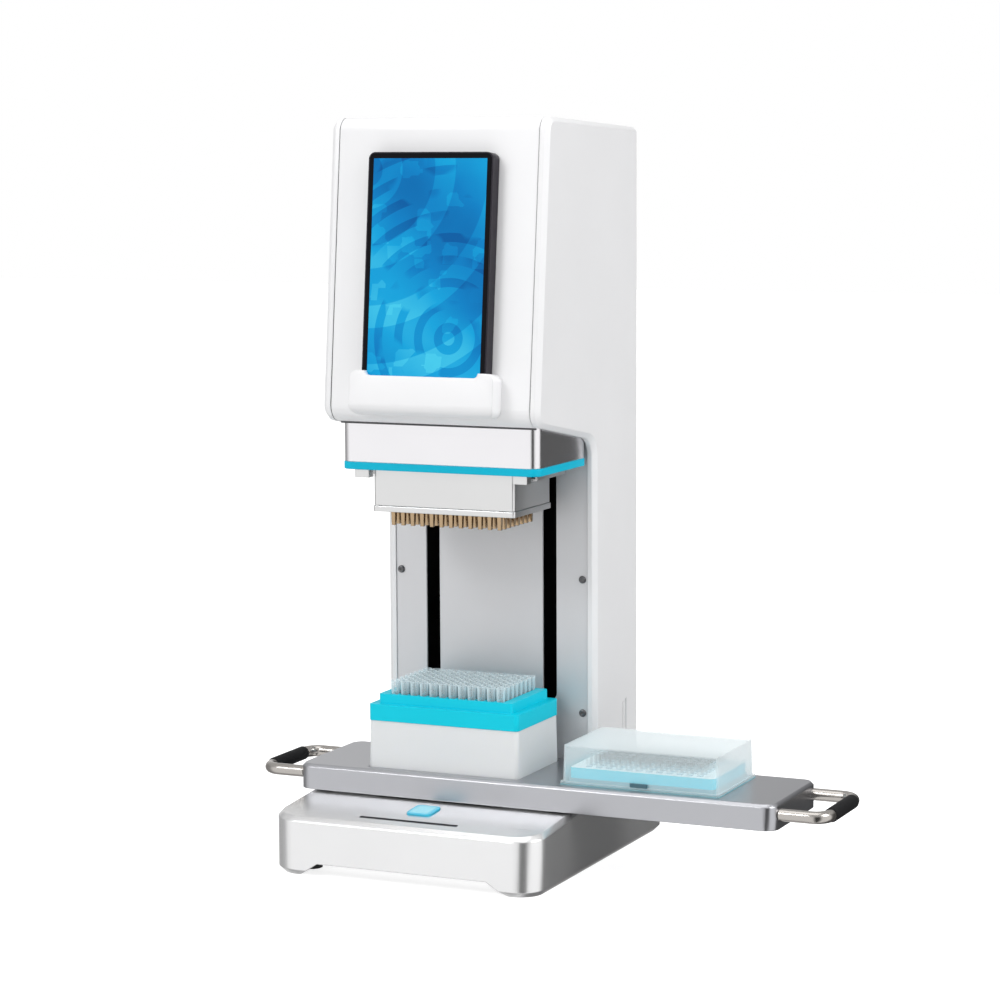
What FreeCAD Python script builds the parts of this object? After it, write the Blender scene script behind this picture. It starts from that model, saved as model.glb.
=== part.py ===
import FreeCAD, Part
import math
import os

from FreeCAD import Vector

# Bench-top pipetting workstation with a 96-channel head, a sliding two-place deck and a
# tablet on the head. Millimetres, +X to the right, +Y to the back, +Z up.
# The origin is on the bench, straight below the centre of the nozzle grid.

# Nozzle grid
pitch = 9.0
columns = 12
rows = 8

# Clearances
slide_gap = 1.0          # between pieces that slide past each other on their own bearings
seam = 0.3               # between neighbouring covers
shaft_gap = 0.05         # radial, between a shaft and the bearing it turns in

# Base casting
base_width = 247.0
base_depth = 295.0
base_front = 127.0       # from the grid's centre forward to the front face
base_top = 57.0
base_wall = 4.0
base_corner = 24.0
base_bevel = 4.0
foot_bevel = 5.0
nose_height = 50.5       # height of the sloping nose where it meets the front face
nose_start = 45.0        # from the grid's centre forward to the start of the slope
arch_height = 11.5
arch_width = 156.0
arch_run = 18.0
rib_thickness = 3.0
rib_height = 16.0        # below the floor of the runners
rear_rib = 5.0           # from the middle of the back feet forward to the rib they hang on
foot_radius = 9.0
foot_height = 6.0
bottom_plate = 2.0
nose_opening = 12.0      # depth of the openings for the button and the light

# Start button and status light on the nose
button_width = 22.0
button_length = 25.0
button_place = 81.0
button_corner = 4.0
button_proud = 1.4
button_depth = 7.0
button_travel = 1.2
button_gap = 0.4
light_length = 89.0
light_width = 1.8
light_place = 110.5
light_depth = 8.0
light_gap = 0.1
light_sunk = 0.2
cap_flange = 1.5         # thickness of the button's flange
cap_rim = 1.0            # how far the flange stands out
switch_wall = 3.0
switch_floor = 4.0

# Column
column_width = 200.0
column_front = 57.0
column_back = 155.0
cover_strip = 8.0        # width of the side cover that shows at the front
cover_wall = 3.0
cover_edge = 4.0
panel_thickness = 2.0
panel_inset = 1.0
panel_top = 602.0
slot_spacing = 112.0
slot_width = 13.0
slot_bottom = 130.0
slot_top = 590.0
screw_head = 3.3
screw_head_height = 1.8
screw_spacing = 174.0
screw_low = 120.0
screw_high = 237.0
groove_width = 9.0
groove_place = 122.5
groove_top = 120.0
groove_depth = 1.2

# Head housing
head_top_front = 634.0
head_top_back = 625.0
head_bottom_front = 381.0
head_bottom_back = 363.0
head_front_top = 41.0
head_front_bottom = 66.0
head_top_radius = 12.0
head_bottom_radius = 14.0
head_back_radius = 4.0
throat_radius = 18.0
throat_start = 36.0
front_cover_depth = 26.0
top_cover_drop = 12.0    # from the head's back corner down to the top cover's lower edge

# Tablet and its cradle, measured along the leaning front of the head
screen_width = 114.0
screen_low = 28.0
screen_height = 196.0
screen_thickness = 13.0
screen_corner = 6.0
glass_thickness = 1.2
screen_frame = 1.2       # width of the case's edge round the glass
glass_gap = 0.2
glass_sunk = 0.1
cradle_width = 132.0
cradle_low = 5.0
cradle_height = 37.0
cradle_depth = 18.0
cradle_corner = 7.0
cradle_dip = 4.0
cradle_dip_width = 104.0
cradle_gap = 0.35
cradle_wall = 4.0
cradle_round = 10.0

# Frame inside the column
spine_width = 148.0
spine_front = 122.0
spine_web = 10.0
spine_flange = 18.0
spine_flange_wall = 8.0
spine_top = 608.0
window_width = 44.0
window_height = 60.0
window_low = 200.0
window_count = 3
frame_plate = 2.5
frame_gap = 0.5
frame_inset = 6.0
tie_depth = 12.0
tie_height = 20.0

# Lift
rail_width = 12.0
rail_depth = 8.0
rail_low = 150.0
rail_high = 600.0
runner_width = 30.0
runner_height = 40.0
runner_depth = 20.0
carriage_low = 352.0
carriage_high = 468.0
carriage_plate = 8.0
carriage_width = 150.0
carriage_window = 36.0
window_margin = 12.0
runner_margin = 4.0      # from the carriage's edges to its runners
runner_overlap = 2.0
arm_slope = 20.0
arm_corner = 8.0
arm_thickness = 9.0
screw_radius = 5.0
screw_place = 100.0
nut_width = 28.0
nut_height = 26.0
nut_low = 396.0
motor_size = 42.0
motor_low = 60.0
motor_height = 40.0
motor_plate = 6.0
motor_plate_width = 58.0
coupling_radius = 9.0
coupling_height = 20.0
bearing_block = 10.0
bearing_low = 134.0
bearing_high = 586.0
bearing_width = 36.0
bearing_reach = 12.0     # from the screw forward to the block's front

# Hood that carries the pipetting head
hood_width = 183.0
hood_front = 47.0
hood_back = 51.0
hood_bottom = 343.4
hood_top = 528.0
hood_wall = 2.5
hood_corner = 9.0
trim_height = 6.4
trim_proud = 0.6
trim_width = 9.0
lid_plate = 3.0
clip_width = 13.0
clip_height = 7.0
clip_depth = 9.0
clip_gap = 1.5
rail_plate = 2.0
clip_inset = 3.0
channel_reach = 8.0      # from the block's side out to the web of its channel
channel_front = -16.0
channel_inset = 8.0

# Channel block, nozzles and stripper
block_width = 131.0
block_depth = 76.0
block_bottom = 306.0
block_wall = 4.0
block_floor = 8.0
block_shoulder = 11.0    # at each end, closed above, with the hole for a stripper rod
block_edge = 1.5
nozzle_length = 17.0
nozzle_root = 3.0
nozzle_end = 2.2
stripper_thickness = 5.0
stripper_proud = 0.7
stripper_travel = 9.0
stripper_slot = 7.2
stripper_rod = 2.5
stripper_head = 3.0
stripper_rod_place = 58.0
stripper_spare = 2.0     # rod above the base plate at the end of the travel
stripper_head_rim = 2.0
rod_gap = 0.4

# Plunger drive in the hood
plunger_plate = 8.0
plunger_low = 385.0
plunger_width = 164.0
plunger_depth = 82.0
piston_radius = 1.8
piston_end = 316.0
plunger_travel = 22.0
boss_width = 20.0        # round the screw, on the middle of the plunger plate
boss_height = 8.0
guide_radius = 4.0
guide_place = 72.0
guide_gap = 0.06
drive_plate = 6.0
drive_low = 446.0
drive_screw = 4.0
drive_motor = 42.0
drive_motor_height = 38.0

# Sliding deck
deck_length = 435.0
deck_depth = 110.0
deck_thickness = 21.8
deck_lift = 1.0          # air between the base and the deck
deck_corner = 12.0
deck_bevel = 2.6
place_spacing = 180.0
deck_shift = 5.5         # how far the deck's middle lies left of the two places
nest_depth = 1.2
nest_gap = 0.4
groove_length = 416.0
groove_height = 8.6
deck_rail_width = 12.0
deck_rail_height = 8.0
deck_rail_spacing = 64.0
deck_rail_length = 408.0
runner_spacing = 160.0
deck_runner_length = 34.0
deck_runner_width = 27.0
deck_runner_height = 13.0

# Deck handles
handle_radius = 5.2
handle_reach = 39.0
handle_spacing = 84.0
handle_bend = 13.0
handle_height = 70.0
grip_radius = 6.4
grip_length = 56.0

# Tip box on the left place
box_width = 141.0
box_depth = 87.0
box_base_height = 41.8
box_wall = 2.0
box_corner = 4.0
box_draft = 0.8
collar_height = 14.0
collar_proud = 0.5
tier_width = 125.0
tier_depth = 77.0
tier_height = 8.6
tier_floor = 2.0
tier_wall = 2.0
ledge = 3.0              # from the collar's outside to its hollow
tip_proud = 11.5
tip_length = 56.0
tip_mouth = 4.0
tip_end = 1.0
tip_bore = 16.0
tip_gap = 0.15

# Lidded rack on the right place
rack_width = 130.0
rack_depth = 80.0
rack_height = 6.0
rack_wall = 2.0
rack_foot = 1.8          # ledge all round, on which the lid stands
band_height = 9.0
band_inset = 1.0
band_wall = 3.0
short_tip_proud = 11.0
short_tip_radius = 3.6
short_tip_draft = 0.3
lid_width = 138.0
lid_depth = 88.0
lid_height = 32.2
lid_wall = 1.4
lid_corner = 3.0
lid_flange = 1.6
lid_flange_height = 2.0
lid_draft = 0.7
latch_width = 15.0
latch_height = 3.2

# Back of the column
inlet_width = 30.0
inlet_height = 22.0
inlet_depth = 18.0
inlet_place = -34.0
inlet_level = 96.0
inlet_wall = 2.5
inlet_corner = 4.0
bezel_rim = 2.5
bezel_proud = 1.5
pin_width = 2.0
pin_height = 4.0
pin_spacing = 7.0
pin_inset = 4.0          # from the inlet's face in to its pins
earth_level = 2.0
live_level = -1.5
switch_width = 13.0
switch_height = 21.0
switch_place = 6.0
switch_rim = 2.0
well_wall = 1.5
well_depth = 9.0
rocker_pivot = 3.5       # from the bezel's face in to the pin
rocker_gap = 0.9
rocker_heel = 1.5
rocker_foot = 3.0
rocker_edge = 2.2
rocker_crown = 2.6
rocker_dip = 0.8
pivot_radius = 1.2
pivot_reach = 0.8
port_width = 14.0
port_height = 12.0
port_spacing = 22.0
port_place = 36.0
port_depth = 14.0
port_mouth = 10.0
port_wall = 1.0
port_proud = 0.5
fan_size = 60.0
fan_depth = 15.0
fan_level = 500.0
fan_hub = 12.0
fan_sides = 16
fan_blades = 7
fan_blade = 1.6
fan_gap = 2.0
fan_wall = 2.0
fan_clear = 0.1
fan_shaft = 1.5
bearing_depth = 3.0
strut_width = 3.0
blade_pitch = 38.0
vent_width = 4.0
vent_count = 7
vent_level = 300.0

# Control boards
board_thickness = 1.6
board_lift = 8.0
board_inset = 5.0
board_front = 14.0       # from the start of the nose back to the board
board_gap = 18.0         # between the board and the power supply
board_post = 4.0
chip_width = 24.0
chip_height = 4.0
supply_width = 96.0
supply_height = 22.0
supply_length = 62.0
supply_back = 37.0       # from the base's back forward to the supply
supply_edge = 1.5

# Levels and places that follow from the sizes above
base_back = base_depth - base_front
deck_bottom = base_top + deck_lift
deck_top = deck_bottom + deck_thickness
nest_level = deck_top - nest_depth
half_column = column_width / 2
seam_x = half_column - cover_strip
panel_front = column_front + panel_inset
hood_half = hood_width / 2
trim_bottom = hood_bottom - trim_height
nozzle_tip = block_bottom - nozzle_length
stripper_top = block_bottom - seam
stripper_bottom = stripper_top - stripper_thickness
box_top = nest_level + box_base_height
collar_top = box_top + collar_height
tier_top = collar_top + tier_height
tip_top = tier_top + tip_proud
left_place = 0.0
right_place = left_place + place_spacing
deck_middle = (left_place + right_place) / 2 - deck_shift
lean = math.degrees(math.atan2(head_front_bottom - head_front_top, head_top_front - head_bottom_front))
carriage_front = screw_place - nut_width / 2 - carriage_plate

nodes = {}


def corner_points(before, corner, after, radius):
    """Start, middle and end of the arc that rounds one corner."""
    back = (before - corner).normalize()
    ahead = (after - corner).normalize()
    half = back.getAngle(ahead) / 2
    reach = radius / math.tan(half)
    inward = (back + ahead).normalize()
    middle = corner + inward * (radius / math.sin(half) - radius)
    return corner + back * reach, middle, corner + ahead * reach


def rounded_wire(points, radii):
    """Closed wire through the points, with each corner rounded by its radius."""
    edges = []
    stops = []
    count = len(points)
    for i in range(count):
        if radii[i] > 0:
            stops.append(corner_points(points[i - 1], points[i], points[(i + 1) % count], radii[i]))
        else:
            stops.append((points[i], None, points[i]))
    for i in range(count):
        start, middle, end = stops[i]
        if middle is not None:
            edges.append(Part.Arc(start, middle, end).toShape())
        following = stops[(i + 1) % count][0]
        if end.distanceToPoint(following) > 1e-6:
            edges.append(Part.LineSegment(end, following).toShape())
    return Part.Wire(edges)


def in_plane(a, b, axis, level):
    """A point from two drawing coordinates and the level along the axis."""
    if axis == "x":
        return Vector(level, a, b)
    if axis == "y":
        return Vector(a, level, b)
    return Vector(a, b, level)


def extrude(corners, axis, low, high):
    """Prism of a drawn outline; each corner is (a, b) or (a, b, radius)."""
    points = [in_plane(c[0], c[1], axis, low) for c in corners]
    radii = [c[2] if len(c) > 2 else 0 for c in corners]
    step = in_plane(0, 0, axis, high - low)
    return Part.Face(rounded_wire(points, radii)).extrude(step)


def inset(corners, gap):
    """The same outline, drawn anticlockwise, moved inward by the gap."""
    moved = []
    count = len(corners)
    for i in range(count):
        here = Vector(corners[i][0], corners[i][1], 0)
        before = Vector(corners[i - 1][0], corners[i - 1][1], 0)
        after = Vector(corners[(i + 1) % count][0], corners[(i + 1) % count][1], 0)
        into = (here - before).normalize()
        out = (after - here).normalize()
        left_in = Vector(-into.y, into.x, 0)
        left_out = Vector(-out.y, out.x, 0)
        place = here + (left_in + left_out) * (gap / (1 + left_in.dot(left_out)))
        radius = corners[i][2] if len(corners[i]) > 2 else 0
        bulges = into.cross(out).z > 0
        radius = max(radius - gap, 0) if bulges else (radius + gap if radius else 0)
        moved.append((place.x, place.y, radius))
    return moved


def box(x0, x1, y0, y1, z0, z1):
    return Part.makeBox(x1 - x0, y1 - y0, z1 - z0, Vector(x0, y0, z0))


def squared(corners):
    """The same outline with sharp corners."""
    return [(c[0], c[1]) for c in corners]


def bar(width, y0, y1, z0, z1):
    """A box centred on the middle plane."""
    return box(-width / 2, width / 2, y0, y1, z0, z1)


def rectangle(x0, x1, y0, y1, radius=0):
    return [(x0, y0, radius), (x1, y0, radius), (x1, y1, radius), (x0, y1, radius)]


def cut_block(x0, x1, y0, y1, z0, z1, cut):
    """A block whose four upright corners are cut off."""
    outline = [(x0 + cut, y0), (x1 - cut, y0), (x1, y0 + cut), (x1, y1 - cut), (x1 - cut, y1),
               (x0 + cut, y1), (x0, y1 - cut), (x0, y0 + cut)]
    return extrude(outline, "z", z0, z1)


def rounded_block(x0, x1, y0, y1, z0, z1, radius):
    return extrude(rectangle(x0, x1, y0, y1, radius), "z", z0, z1)


def rod(x, y, z0, z1, radius):
    return Part.makeCylinder(radius, z1 - z0, Vector(x, y, z0))


def rod_y(x, z, y0, y1, radius):
    return Part.makeCylinder(radius, y1 - y0, Vector(x, y0, z), Vector(0, 1, 0))


def mirrored(shape):
    return shape.mirror(Vector(0, 0, 0), Vector(1, 0, 0))


def both_sides(shape):
    return [shape, mirrored(shape)]


def edges_at(shape, test):
    """Edges whose two ends and middle all pass the test."""
    found = []
    for edge in shape.Edges:
        middle = edge.valueAt((edge.FirstParameter + edge.LastParameter) / 2)
        ends = [vertex.Point for vertex in edge.Vertexes]
        if all(test(point) for point in ends + [middle]):
            found.append(edge)
    return found


def grid_places():
    """Centres of the nozzle grid."""
    places = []
    for i in range(columns):
        for j in range(rows):
            x = (i - (columns - 1) / 2) * pitch
            y = (j - (rows - 1) / 2) * pitch
            places.append((x, y))
    return places


def ring_points(z, radius, sides):
    points = []
    for i in range(sides):
        turn = 2 * math.pi * (i + 0.5) / sides
        points.append(Vector(radius * math.cos(turn), radius * math.sin(turn), z))
    return points


def flat_sides(rings):
    """Solid through outlines with as many corners each, joined by flat sides."""
    first = rings[0][::-1]
    last = rings[-1]
    faces = [Part.Face(Part.makePolygon(first + [first[0]])), Part.Face(Part.makePolygon(last + [last[0]]))]
    for low, high in zip(rings, rings[1:]):
        for i in range(len(low)):
            after = (i + 1) % len(low)
            faces.append(Part.Face(Part.makePolygon([low[i], low[after], high[after], high[i], low[i]])))
    shell = Part.makeShell(faces)
    shell.sewShape()
    solid = Part.makeSolid(shell)
    return solid if solid.Volume > 0 else solid.reversed()


def flat_taper(low, high):
    return flat_sides([low, high])


def taper(z0, radius0, z1, radius1, sides=6):
    return flat_taper(ring_points(z0, radius0, sides), ring_points(z1, radius1, sides))


def post(x, y, z0, z1, radius, sides=10):
    """Upright many-sided bar."""
    upright = taper(z0, radius, z1, radius, sides)
    upright.translate(Vector(x, y, 0))
    return upright


def cross_bar(x, z, y0, y1, radius, sides=10):
    """Many-sided bar from front to back."""
    laid = post(0, 0, y0, y1, radius, sides)
    laid.rotate(Vector(0, 0, 0), Vector(1, 0, 0), -90)
    laid.translate(Vector(x, 0, z))
    return laid


def bent_bar(path, radius, sides=10):
    """Many-sided bar along a level path, mitred at every bend."""
    rings = []
    count = len(path)
    for i in range(count):
        before = path[max(i - 1, 0)]
        after = path[min(i + 1, count - 1)]
        into = (path[i] - before).normalize() if i > 0 else (after - path[i]).normalize()
        out = (after - path[i]).normalize() if i < count - 1 else into
        along = (into + out).normalize()
        across = Vector(-along.y, along.x, 0) * (1 / along.dot(into))
        ring = []
        for k in range(sides):
            turn = 2 * math.pi * (k + 0.5) / sides
            ring.append(path[i] + across * (radius * math.cos(turn)) + Vector(0, 0, radius * math.sin(turn)))
        rings.append(ring)
    return flat_sides(rings)


def on_grid(shape, x=0.0):
    """One copy of the shape at each place of the grid, as separate solids."""
    copies = []
    for place in grid_places():
        copy = shape.copy()
        copy.translate(Vector(place[0] + x, place[1], 0))
        copies.append(copy)
    return copies


def grid_slots(length, width, z0, z1, x=0.0):
    """One slot along each row of the grid from front to back."""
    slots = []
    for i in range(columns):
        middle = x + (i - (columns - 1) / 2) * pitch
        slots.append(box(middle - width / 2, middle + width / 2, -length / 2, length / 2, z0, z1))
    return slots


def drafted_block(width, depth, z0, z1, radius, draft, x=0.0):
    """A block with rounded corners that narrows by the draft towards the top."""
    outlines = []
    for level, half_x, half_y in ((z0, width / 2, depth / 2), (z1, width / 2 - draft, depth / 2 - draft)):
        outlines.append([Vector(c[0], c[1], level)
                         for c in rectangle(x - half_x, x + half_x, -half_y, half_y)])
    block = flat_taper(outlines[0], outlines[1])
    if radius == 0:
        return block
    uprights = [edge for edge in block.Edges if abs(edge.Vertexes[0].Z - edge.Vertexes[1].Z) > 0.5 * (z1 - z0)]
    return block.makeFillet(radius, uprights)


def add(name, shapes):
    """Keeps one named piece, which may have several solids."""
    solids = []
    for shape in (shapes if isinstance(shapes, list) else [shapes]):
        solids += shape.removeSplitter().Solids
    nodes[name] = solids[0] if len(solids) == 1 else Part.makeCompound(solids)


# Base casting: an open shell with a sloping nose, an arch at the front and rails for the deck


def base_side_view():
    return [(-base_front, 0), (base_back, 0), (base_back, base_top), (-nose_start, base_top),
            (-base_front, nose_height)]


def nose_level(y):
    """Height of the nose's sloping top above the bench."""
    return base_top - (base_top - nose_height) * (-nose_start - y) / (base_front - nose_start)


def base_envelope(gap, low):
    """The outside of the base, or its inside, with flat corners, when the gap is the wall."""
    half = base_width / 2 - gap
    if gap > 0:
        plan = cut_block(-half, half, -base_front + gap, base_back - gap, low, base_top + 1, base_corner / 2)
    else:
        plan = rounded_block(-half, half, -base_front, base_back, low, base_top + 1, base_corner)
    side = [(-base_front + gap, low), (base_back - gap, low), (base_back - gap, base_top - gap),
            (-nose_start, base_top - gap), (-base_front + gap, nose_level(-base_front + gap) - gap)]
    return plan.common(extrude(side, "x", -half, half))


def arch_cut():
    half = arch_width / 2
    outline = [(-half - arch_run, -1), (half + arch_run, -1), (half + arch_run, 0), (half, arch_height),
               (-half, arch_height), (-half - arch_run, 0)]
    return extrude(outline, "y", -base_front - 1, -base_front + base_corner)


def runner_places():
    places = []
    for x in (-runner_spacing / 2, runner_spacing / 2):
        for y in (-deck_rail_spacing / 2, deck_rail_spacing / 2):
            places.append((x, y))
    return places


def runner_floor():
    """Level on which the deck's runners stand, sunk into the base's top."""
    return deck_bottom + groove_height - deck_runner_height


def tilt_to_nose(shape):
    """Tips a piece drawn level at the start of the nose down onto its slope."""
    angle = math.degrees(math.atan2(base_top - nose_height, base_front - nose_start))
    turned = shape.copy()
    turned.rotate(Vector(0, -nose_start, base_top), Vector(1, 0, 0), angle)
    return turned


def button_outline(gap):
    half = button_width / 2 + gap
    front = -button_place - button_length / 2 - gap
    return rectangle(-half, half, front, front + button_length + 2 * gap, button_corner + gap)


def light_outline(gap):
    half = light_length / 2 + gap
    width = light_width / 2 + gap
    return rectangle(-half, half, -light_place - width, -light_place + width)


def base_ribs():
    """Cross ribs under the top of the casting, with bosses for the feet."""
    inside = base_envelope(base_wall - 0.1, bottom_plate + seam)
    low = runner_floor() - rib_height
    ribs = [bar(rib_thickness, -nose_start, base_back, low, base_top)]
    for y in (-nose_start, column_front, base_back - base_corner - rear_rib):
        ribs.append(bar(base_width, y, y + rib_thickness, low, base_top))
    return [rib.common(inside) for rib in ribs]


def foot_places():
    x = base_width / 2 - base_corner
    front = -base_front + base_corner + foot_radius
    return [(x, front), (x, base_back - base_corner), (-x, front), (-x, base_back - base_corner)]


def make_base():
    shell = base_envelope(0, 0)
    top_edges = edges_at(shell, lambda p: p.z > nose_height - 0.1)
    shell = shell.makeChamfer(base_bevel, top_edges)
    low_edges = edges_at(shell, lambda p: p.z < 0.1)
    shell = shell.makeChamfer(foot_bevel, low_edges)
    shell = shell.cut(base_envelope(base_wall + foot_bevel, -1).common(bar(base_width, -base_front, base_back,
                                                                           -1, foot_bevel)))
    shell = shell.cut(base_envelope(base_wall, foot_bevel - 0.5))
    pads = []
    pockets = []
    for x, y in runner_places():
        half_x = deck_runner_length / 2 + slide_gap
        half_y = deck_runner_width / 2 + slide_gap
        pads.append(box(x - half_x - base_wall, x + half_x + base_wall, y - half_y - base_wall,
                        y + half_y + base_wall, runner_floor() - base_wall, base_top))
        pockets.append(box(x - half_x, x + half_x, y - half_y, y + half_y, runner_floor(), base_top + 1))
    feet = [box(x - foot_radius, x + foot_radius, y - foot_radius, y + foot_radius,
                foot_height + bottom_plate, base_top - base_wall - 0.5) for x, y in foot_places()]
    shell = shell.fuse(pads + base_ribs() + feet)
    shell = shell.cut(pockets + [arch_cut()])
    low = base_top - nose_opening
    tools = [tilt_to_nose(extrude(button_outline(button_gap), "z", low, base_top + 2)),
             tilt_to_nose(extrude(light_outline(light_gap), "z", low, base_top + 2))]
    add("base_housing", shell.cut(tools))
    add("base_feet", [post(x, y, 0, foot_height, foot_radius) for x, y in foot_places()])


def make_bottom_plate():
    inner = base_wall + foot_bevel + seam
    half = base_width / 2 - inner
    plate = cut_block(-half, half, -base_front + base_corner, base_back - inner, foot_height,
                      foot_height + bottom_plate, base_corner / 2)
    add("base_bottom_plate", plate)


def make_nose_controls():
    cap = extrude(button_outline(0), "z", base_top - button_depth, base_top + button_proud)
    foot = base_top - button_depth - cap_flange
    flange = extrude(squared(button_outline(cap_rim)), "z", foot, base_top - button_depth)
    add("start_button", tilt_to_nose(cap.fuse(flange)))
    light = extrude(light_outline(0), "z", base_top - light_depth, base_top - light_sunk)
    add("status_light", tilt_to_nose(light))
    seat_top = foot - button_travel - seam
    outline = squared(button_outline(cap_rim + switch_wall))
    seat = extrude(outline, "z", seat_top - switch_floor, seat_top)
    wall = extrude(outline, "z", seat_top - switch_floor, base_top - base_wall - light_sunk)
    cavity = extrude(squared(button_outline(cap_rim + 2 * button_gap)), "z", seat_top, base_top)
    add("button_switch", tilt_to_nose(wall.cut(cavity).fuse(seat)))


# Column and head covers: two hooked side covers, with the front, top and back pieces between them


def throat_outline():
    """Side view of the column with the head reaching forward, anticlockwise."""
    slope = (head_bottom_front - head_bottom_back) / (head_front_bottom + throat_start)
    level = head_bottom_back - slope * (column_front - throat_start)
    return [(column_front, base_top), (column_back, base_top), (column_back, head_top_back, head_back_radius),
            (-head_front_top, head_top_front, head_top_radius),
            (-head_front_bottom, head_bottom_front, head_bottom_radius), (column_front, level, throat_radius)]


def open_outline(gap):
    """The inside of the side view, carried down past its foot so that it stays open there."""
    outline = inset(throat_outline(), gap)
    low = base_top - 1
    return [(outline[0][0], low), (outline[1][0], low)] + outline[2:]


def side_groove():
    """Shallow upright groove in the side cover near the back of the column."""
    outline = [(groove_place - groove_width / 2, base_top - 1), (groove_place + groove_width / 2, base_top - 1),
               (groove_place + groove_width / 2, groove_top + groove_width / 3),
               (groove_place - groove_width / 2, groove_top)]
    core = [(groove_place - groove_width / 4, base_top - 1), (groove_place + groove_width / 5, base_top - 1),
            (groove_place + groove_width / 5, groove_top), (groove_place - groove_width / 4, groove_top)]
    groove = extrude(outline, "x", half_column - groove_depth, half_column + 1)
    return groove.cut(extrude(core, "x", half_column - groove_depth - 1, half_column - groove_depth / 3))


def side_cover():
    outline = throat_outline()
    cover = extrude(outline, "x", seam_x, half_column)
    rim = edges_at(cover, lambda p: p.x > half_column - 0.01 and p.z > base_top + 0.01)
    uprights = edges_at(cover, lambda p: p.x > half_column - 0.01 and abs(p.y - column_front) < 0.01)
    uprights += edges_at(cover, lambda p: p.x > half_column - 0.01 and abs(p.y - column_back) < 0.01)
    known = [edge.hashCode() for edge in rim]
    rim += [edge for edge in uprights if edge.hashCode() not in known]
    cover = cover.makeChamfer(cover_edge, rim)
    cover = cover.cut(extrude(open_outline(cover_wall), "x", seam_x - 1, half_column - cover_wall))
    return cover.cut(side_groove())


def skin(region):
    """The part of the shell between the side covers that lies in a region."""
    outline = throat_outline()
    width = seam_x - seam
    ring = extrude(outline, "x", -width, width)
    ring = ring.cut(extrude(open_outline(cover_wall), "x", -width - 1, width + 1))
    return ring.common(region)


def make_covers():
    right = side_cover()
    add("side_cover_right", right)
    add("side_cover_left", mirrored(right))
    split = -head_front_top + front_cover_depth
    room = hood_front + slide_gap
    front = skin(bar(column_width, -head_front_bottom - 1, split, head_bottom_back, head_top_front + 1))
    add("head_front_cover", front.cut(bar(column_width, -room, split, 0, hood_top)))
    add("head_top_cover", skin(bar(column_width, split + seam, column_back + 1, head_top_back - top_cover_drop,
                                   head_top_front + 1)))


def rear_openings():
    cuts = [box(inlet_place - inlet_width / 2, inlet_place + inlet_width / 2, column_back - 5, column_back + 1,
                inlet_level - inlet_height / 2, inlet_level + inlet_height / 2),
            box(switch_place - switch_width / 2, switch_place + switch_width / 2, column_back - 5,
                column_back + 1, inlet_level - switch_height / 2, inlet_level + switch_height / 2)]
    for place in (port_place, port_place + port_spacing):
        cuts.append(box(place - port_width / 2, place + port_width / 2, column_back - 5, column_back + 1,
                        inlet_level - port_height / 2, inlet_level + port_height / 2))
    for i in range(vent_count):
        x = (i - (vent_count - 1) / 2) * vent_width * 2.2
        for level, reach in ((fan_level, fan_size / 2 - 5), (vent_level, 20)):
            cuts.append(box(x - vent_width / 2, x + vent_width / 2, column_back - 5, column_back + 1,
                            level - reach, level + reach))
    return cuts


def make_rear_cover():
    split = head_top_back - top_cover_drop - seam
    rear = skin(bar(column_width, column_back - cover_wall - 0.1, column_back + 1, base_top, split))
    add("column_rear_cover", rear.cut(rear_openings()))


def slot_cuts():
    cuts = []
    for x in (-slot_spacing / 2, slot_spacing / 2):
        outline = rectangle(x - slot_width / 2, x + slot_width / 2, slot_bottom, slot_top, slot_width * 0.45)
        cuts.append(extrude(outline, "y", panel_front - 1, panel_front + panel_thickness + 1))
    return cuts


def screw_places():
    places = []
    for x in (-screw_spacing / 2, screw_spacing / 2):
        for z in (screw_low, screw_high):
            places.append((x, z))
    return places


def make_front_panel():
    width = 2 * (seam_x - seam)
    panel = bar(width, panel_front, panel_front + panel_thickness, base_top + seam, panel_top)
    add("column_front_panel", panel.cut(slot_cuts()))
    screws = []
    for x, z in screw_places():
        screws.append(cross_bar(x, z, panel_front - screw_head_height, panel_front, screw_head))
    add("panel_screws", screws)


# Tablet in its cradle on the leaning front of the head


def lean_back(shape):
    """Turns a piece drawn upright at the foot of the head's front onto its lean."""
    turned = shape.copy()
    turned.rotate(Vector(0, -head_front_bottom, head_bottom_front), Vector(1, 0, 0), -lean)
    return turned


def on_front(x0, x1, u0, u1, out0, out1, radius):
    """A block on the head's front: x across, u up the front, out away from it."""
    outline = rectangle(x0, x1, head_bottom_front + u0, head_bottom_front + u1, radius)
    return extrude(outline, "y", -head_front_bottom - out1, -head_front_bottom - out0)


def make_screen():
    half = screen_width / 2
    top = screen_low + screen_height
    body = on_front(-half, half, screen_low, top, seam, screen_thickness, screen_corner)
    inner = half - screen_frame
    recess = on_front(-inner, inner, screen_low + screen_frame, top - screen_frame,
                      screen_thickness - glass_thickness, screen_thickness + 1, screen_corner - screen_frame)
    add("screen_housing", lean_back(body.cut(recess)))
    edge = screen_frame + glass_gap
    glass = on_front(edge - half, half - edge, screen_low + edge, top - edge,
                     screen_thickness - glass_thickness, screen_thickness - glass_sunk, screen_corner - edge)
    add("screen_glass", lean_back(glass))


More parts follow.
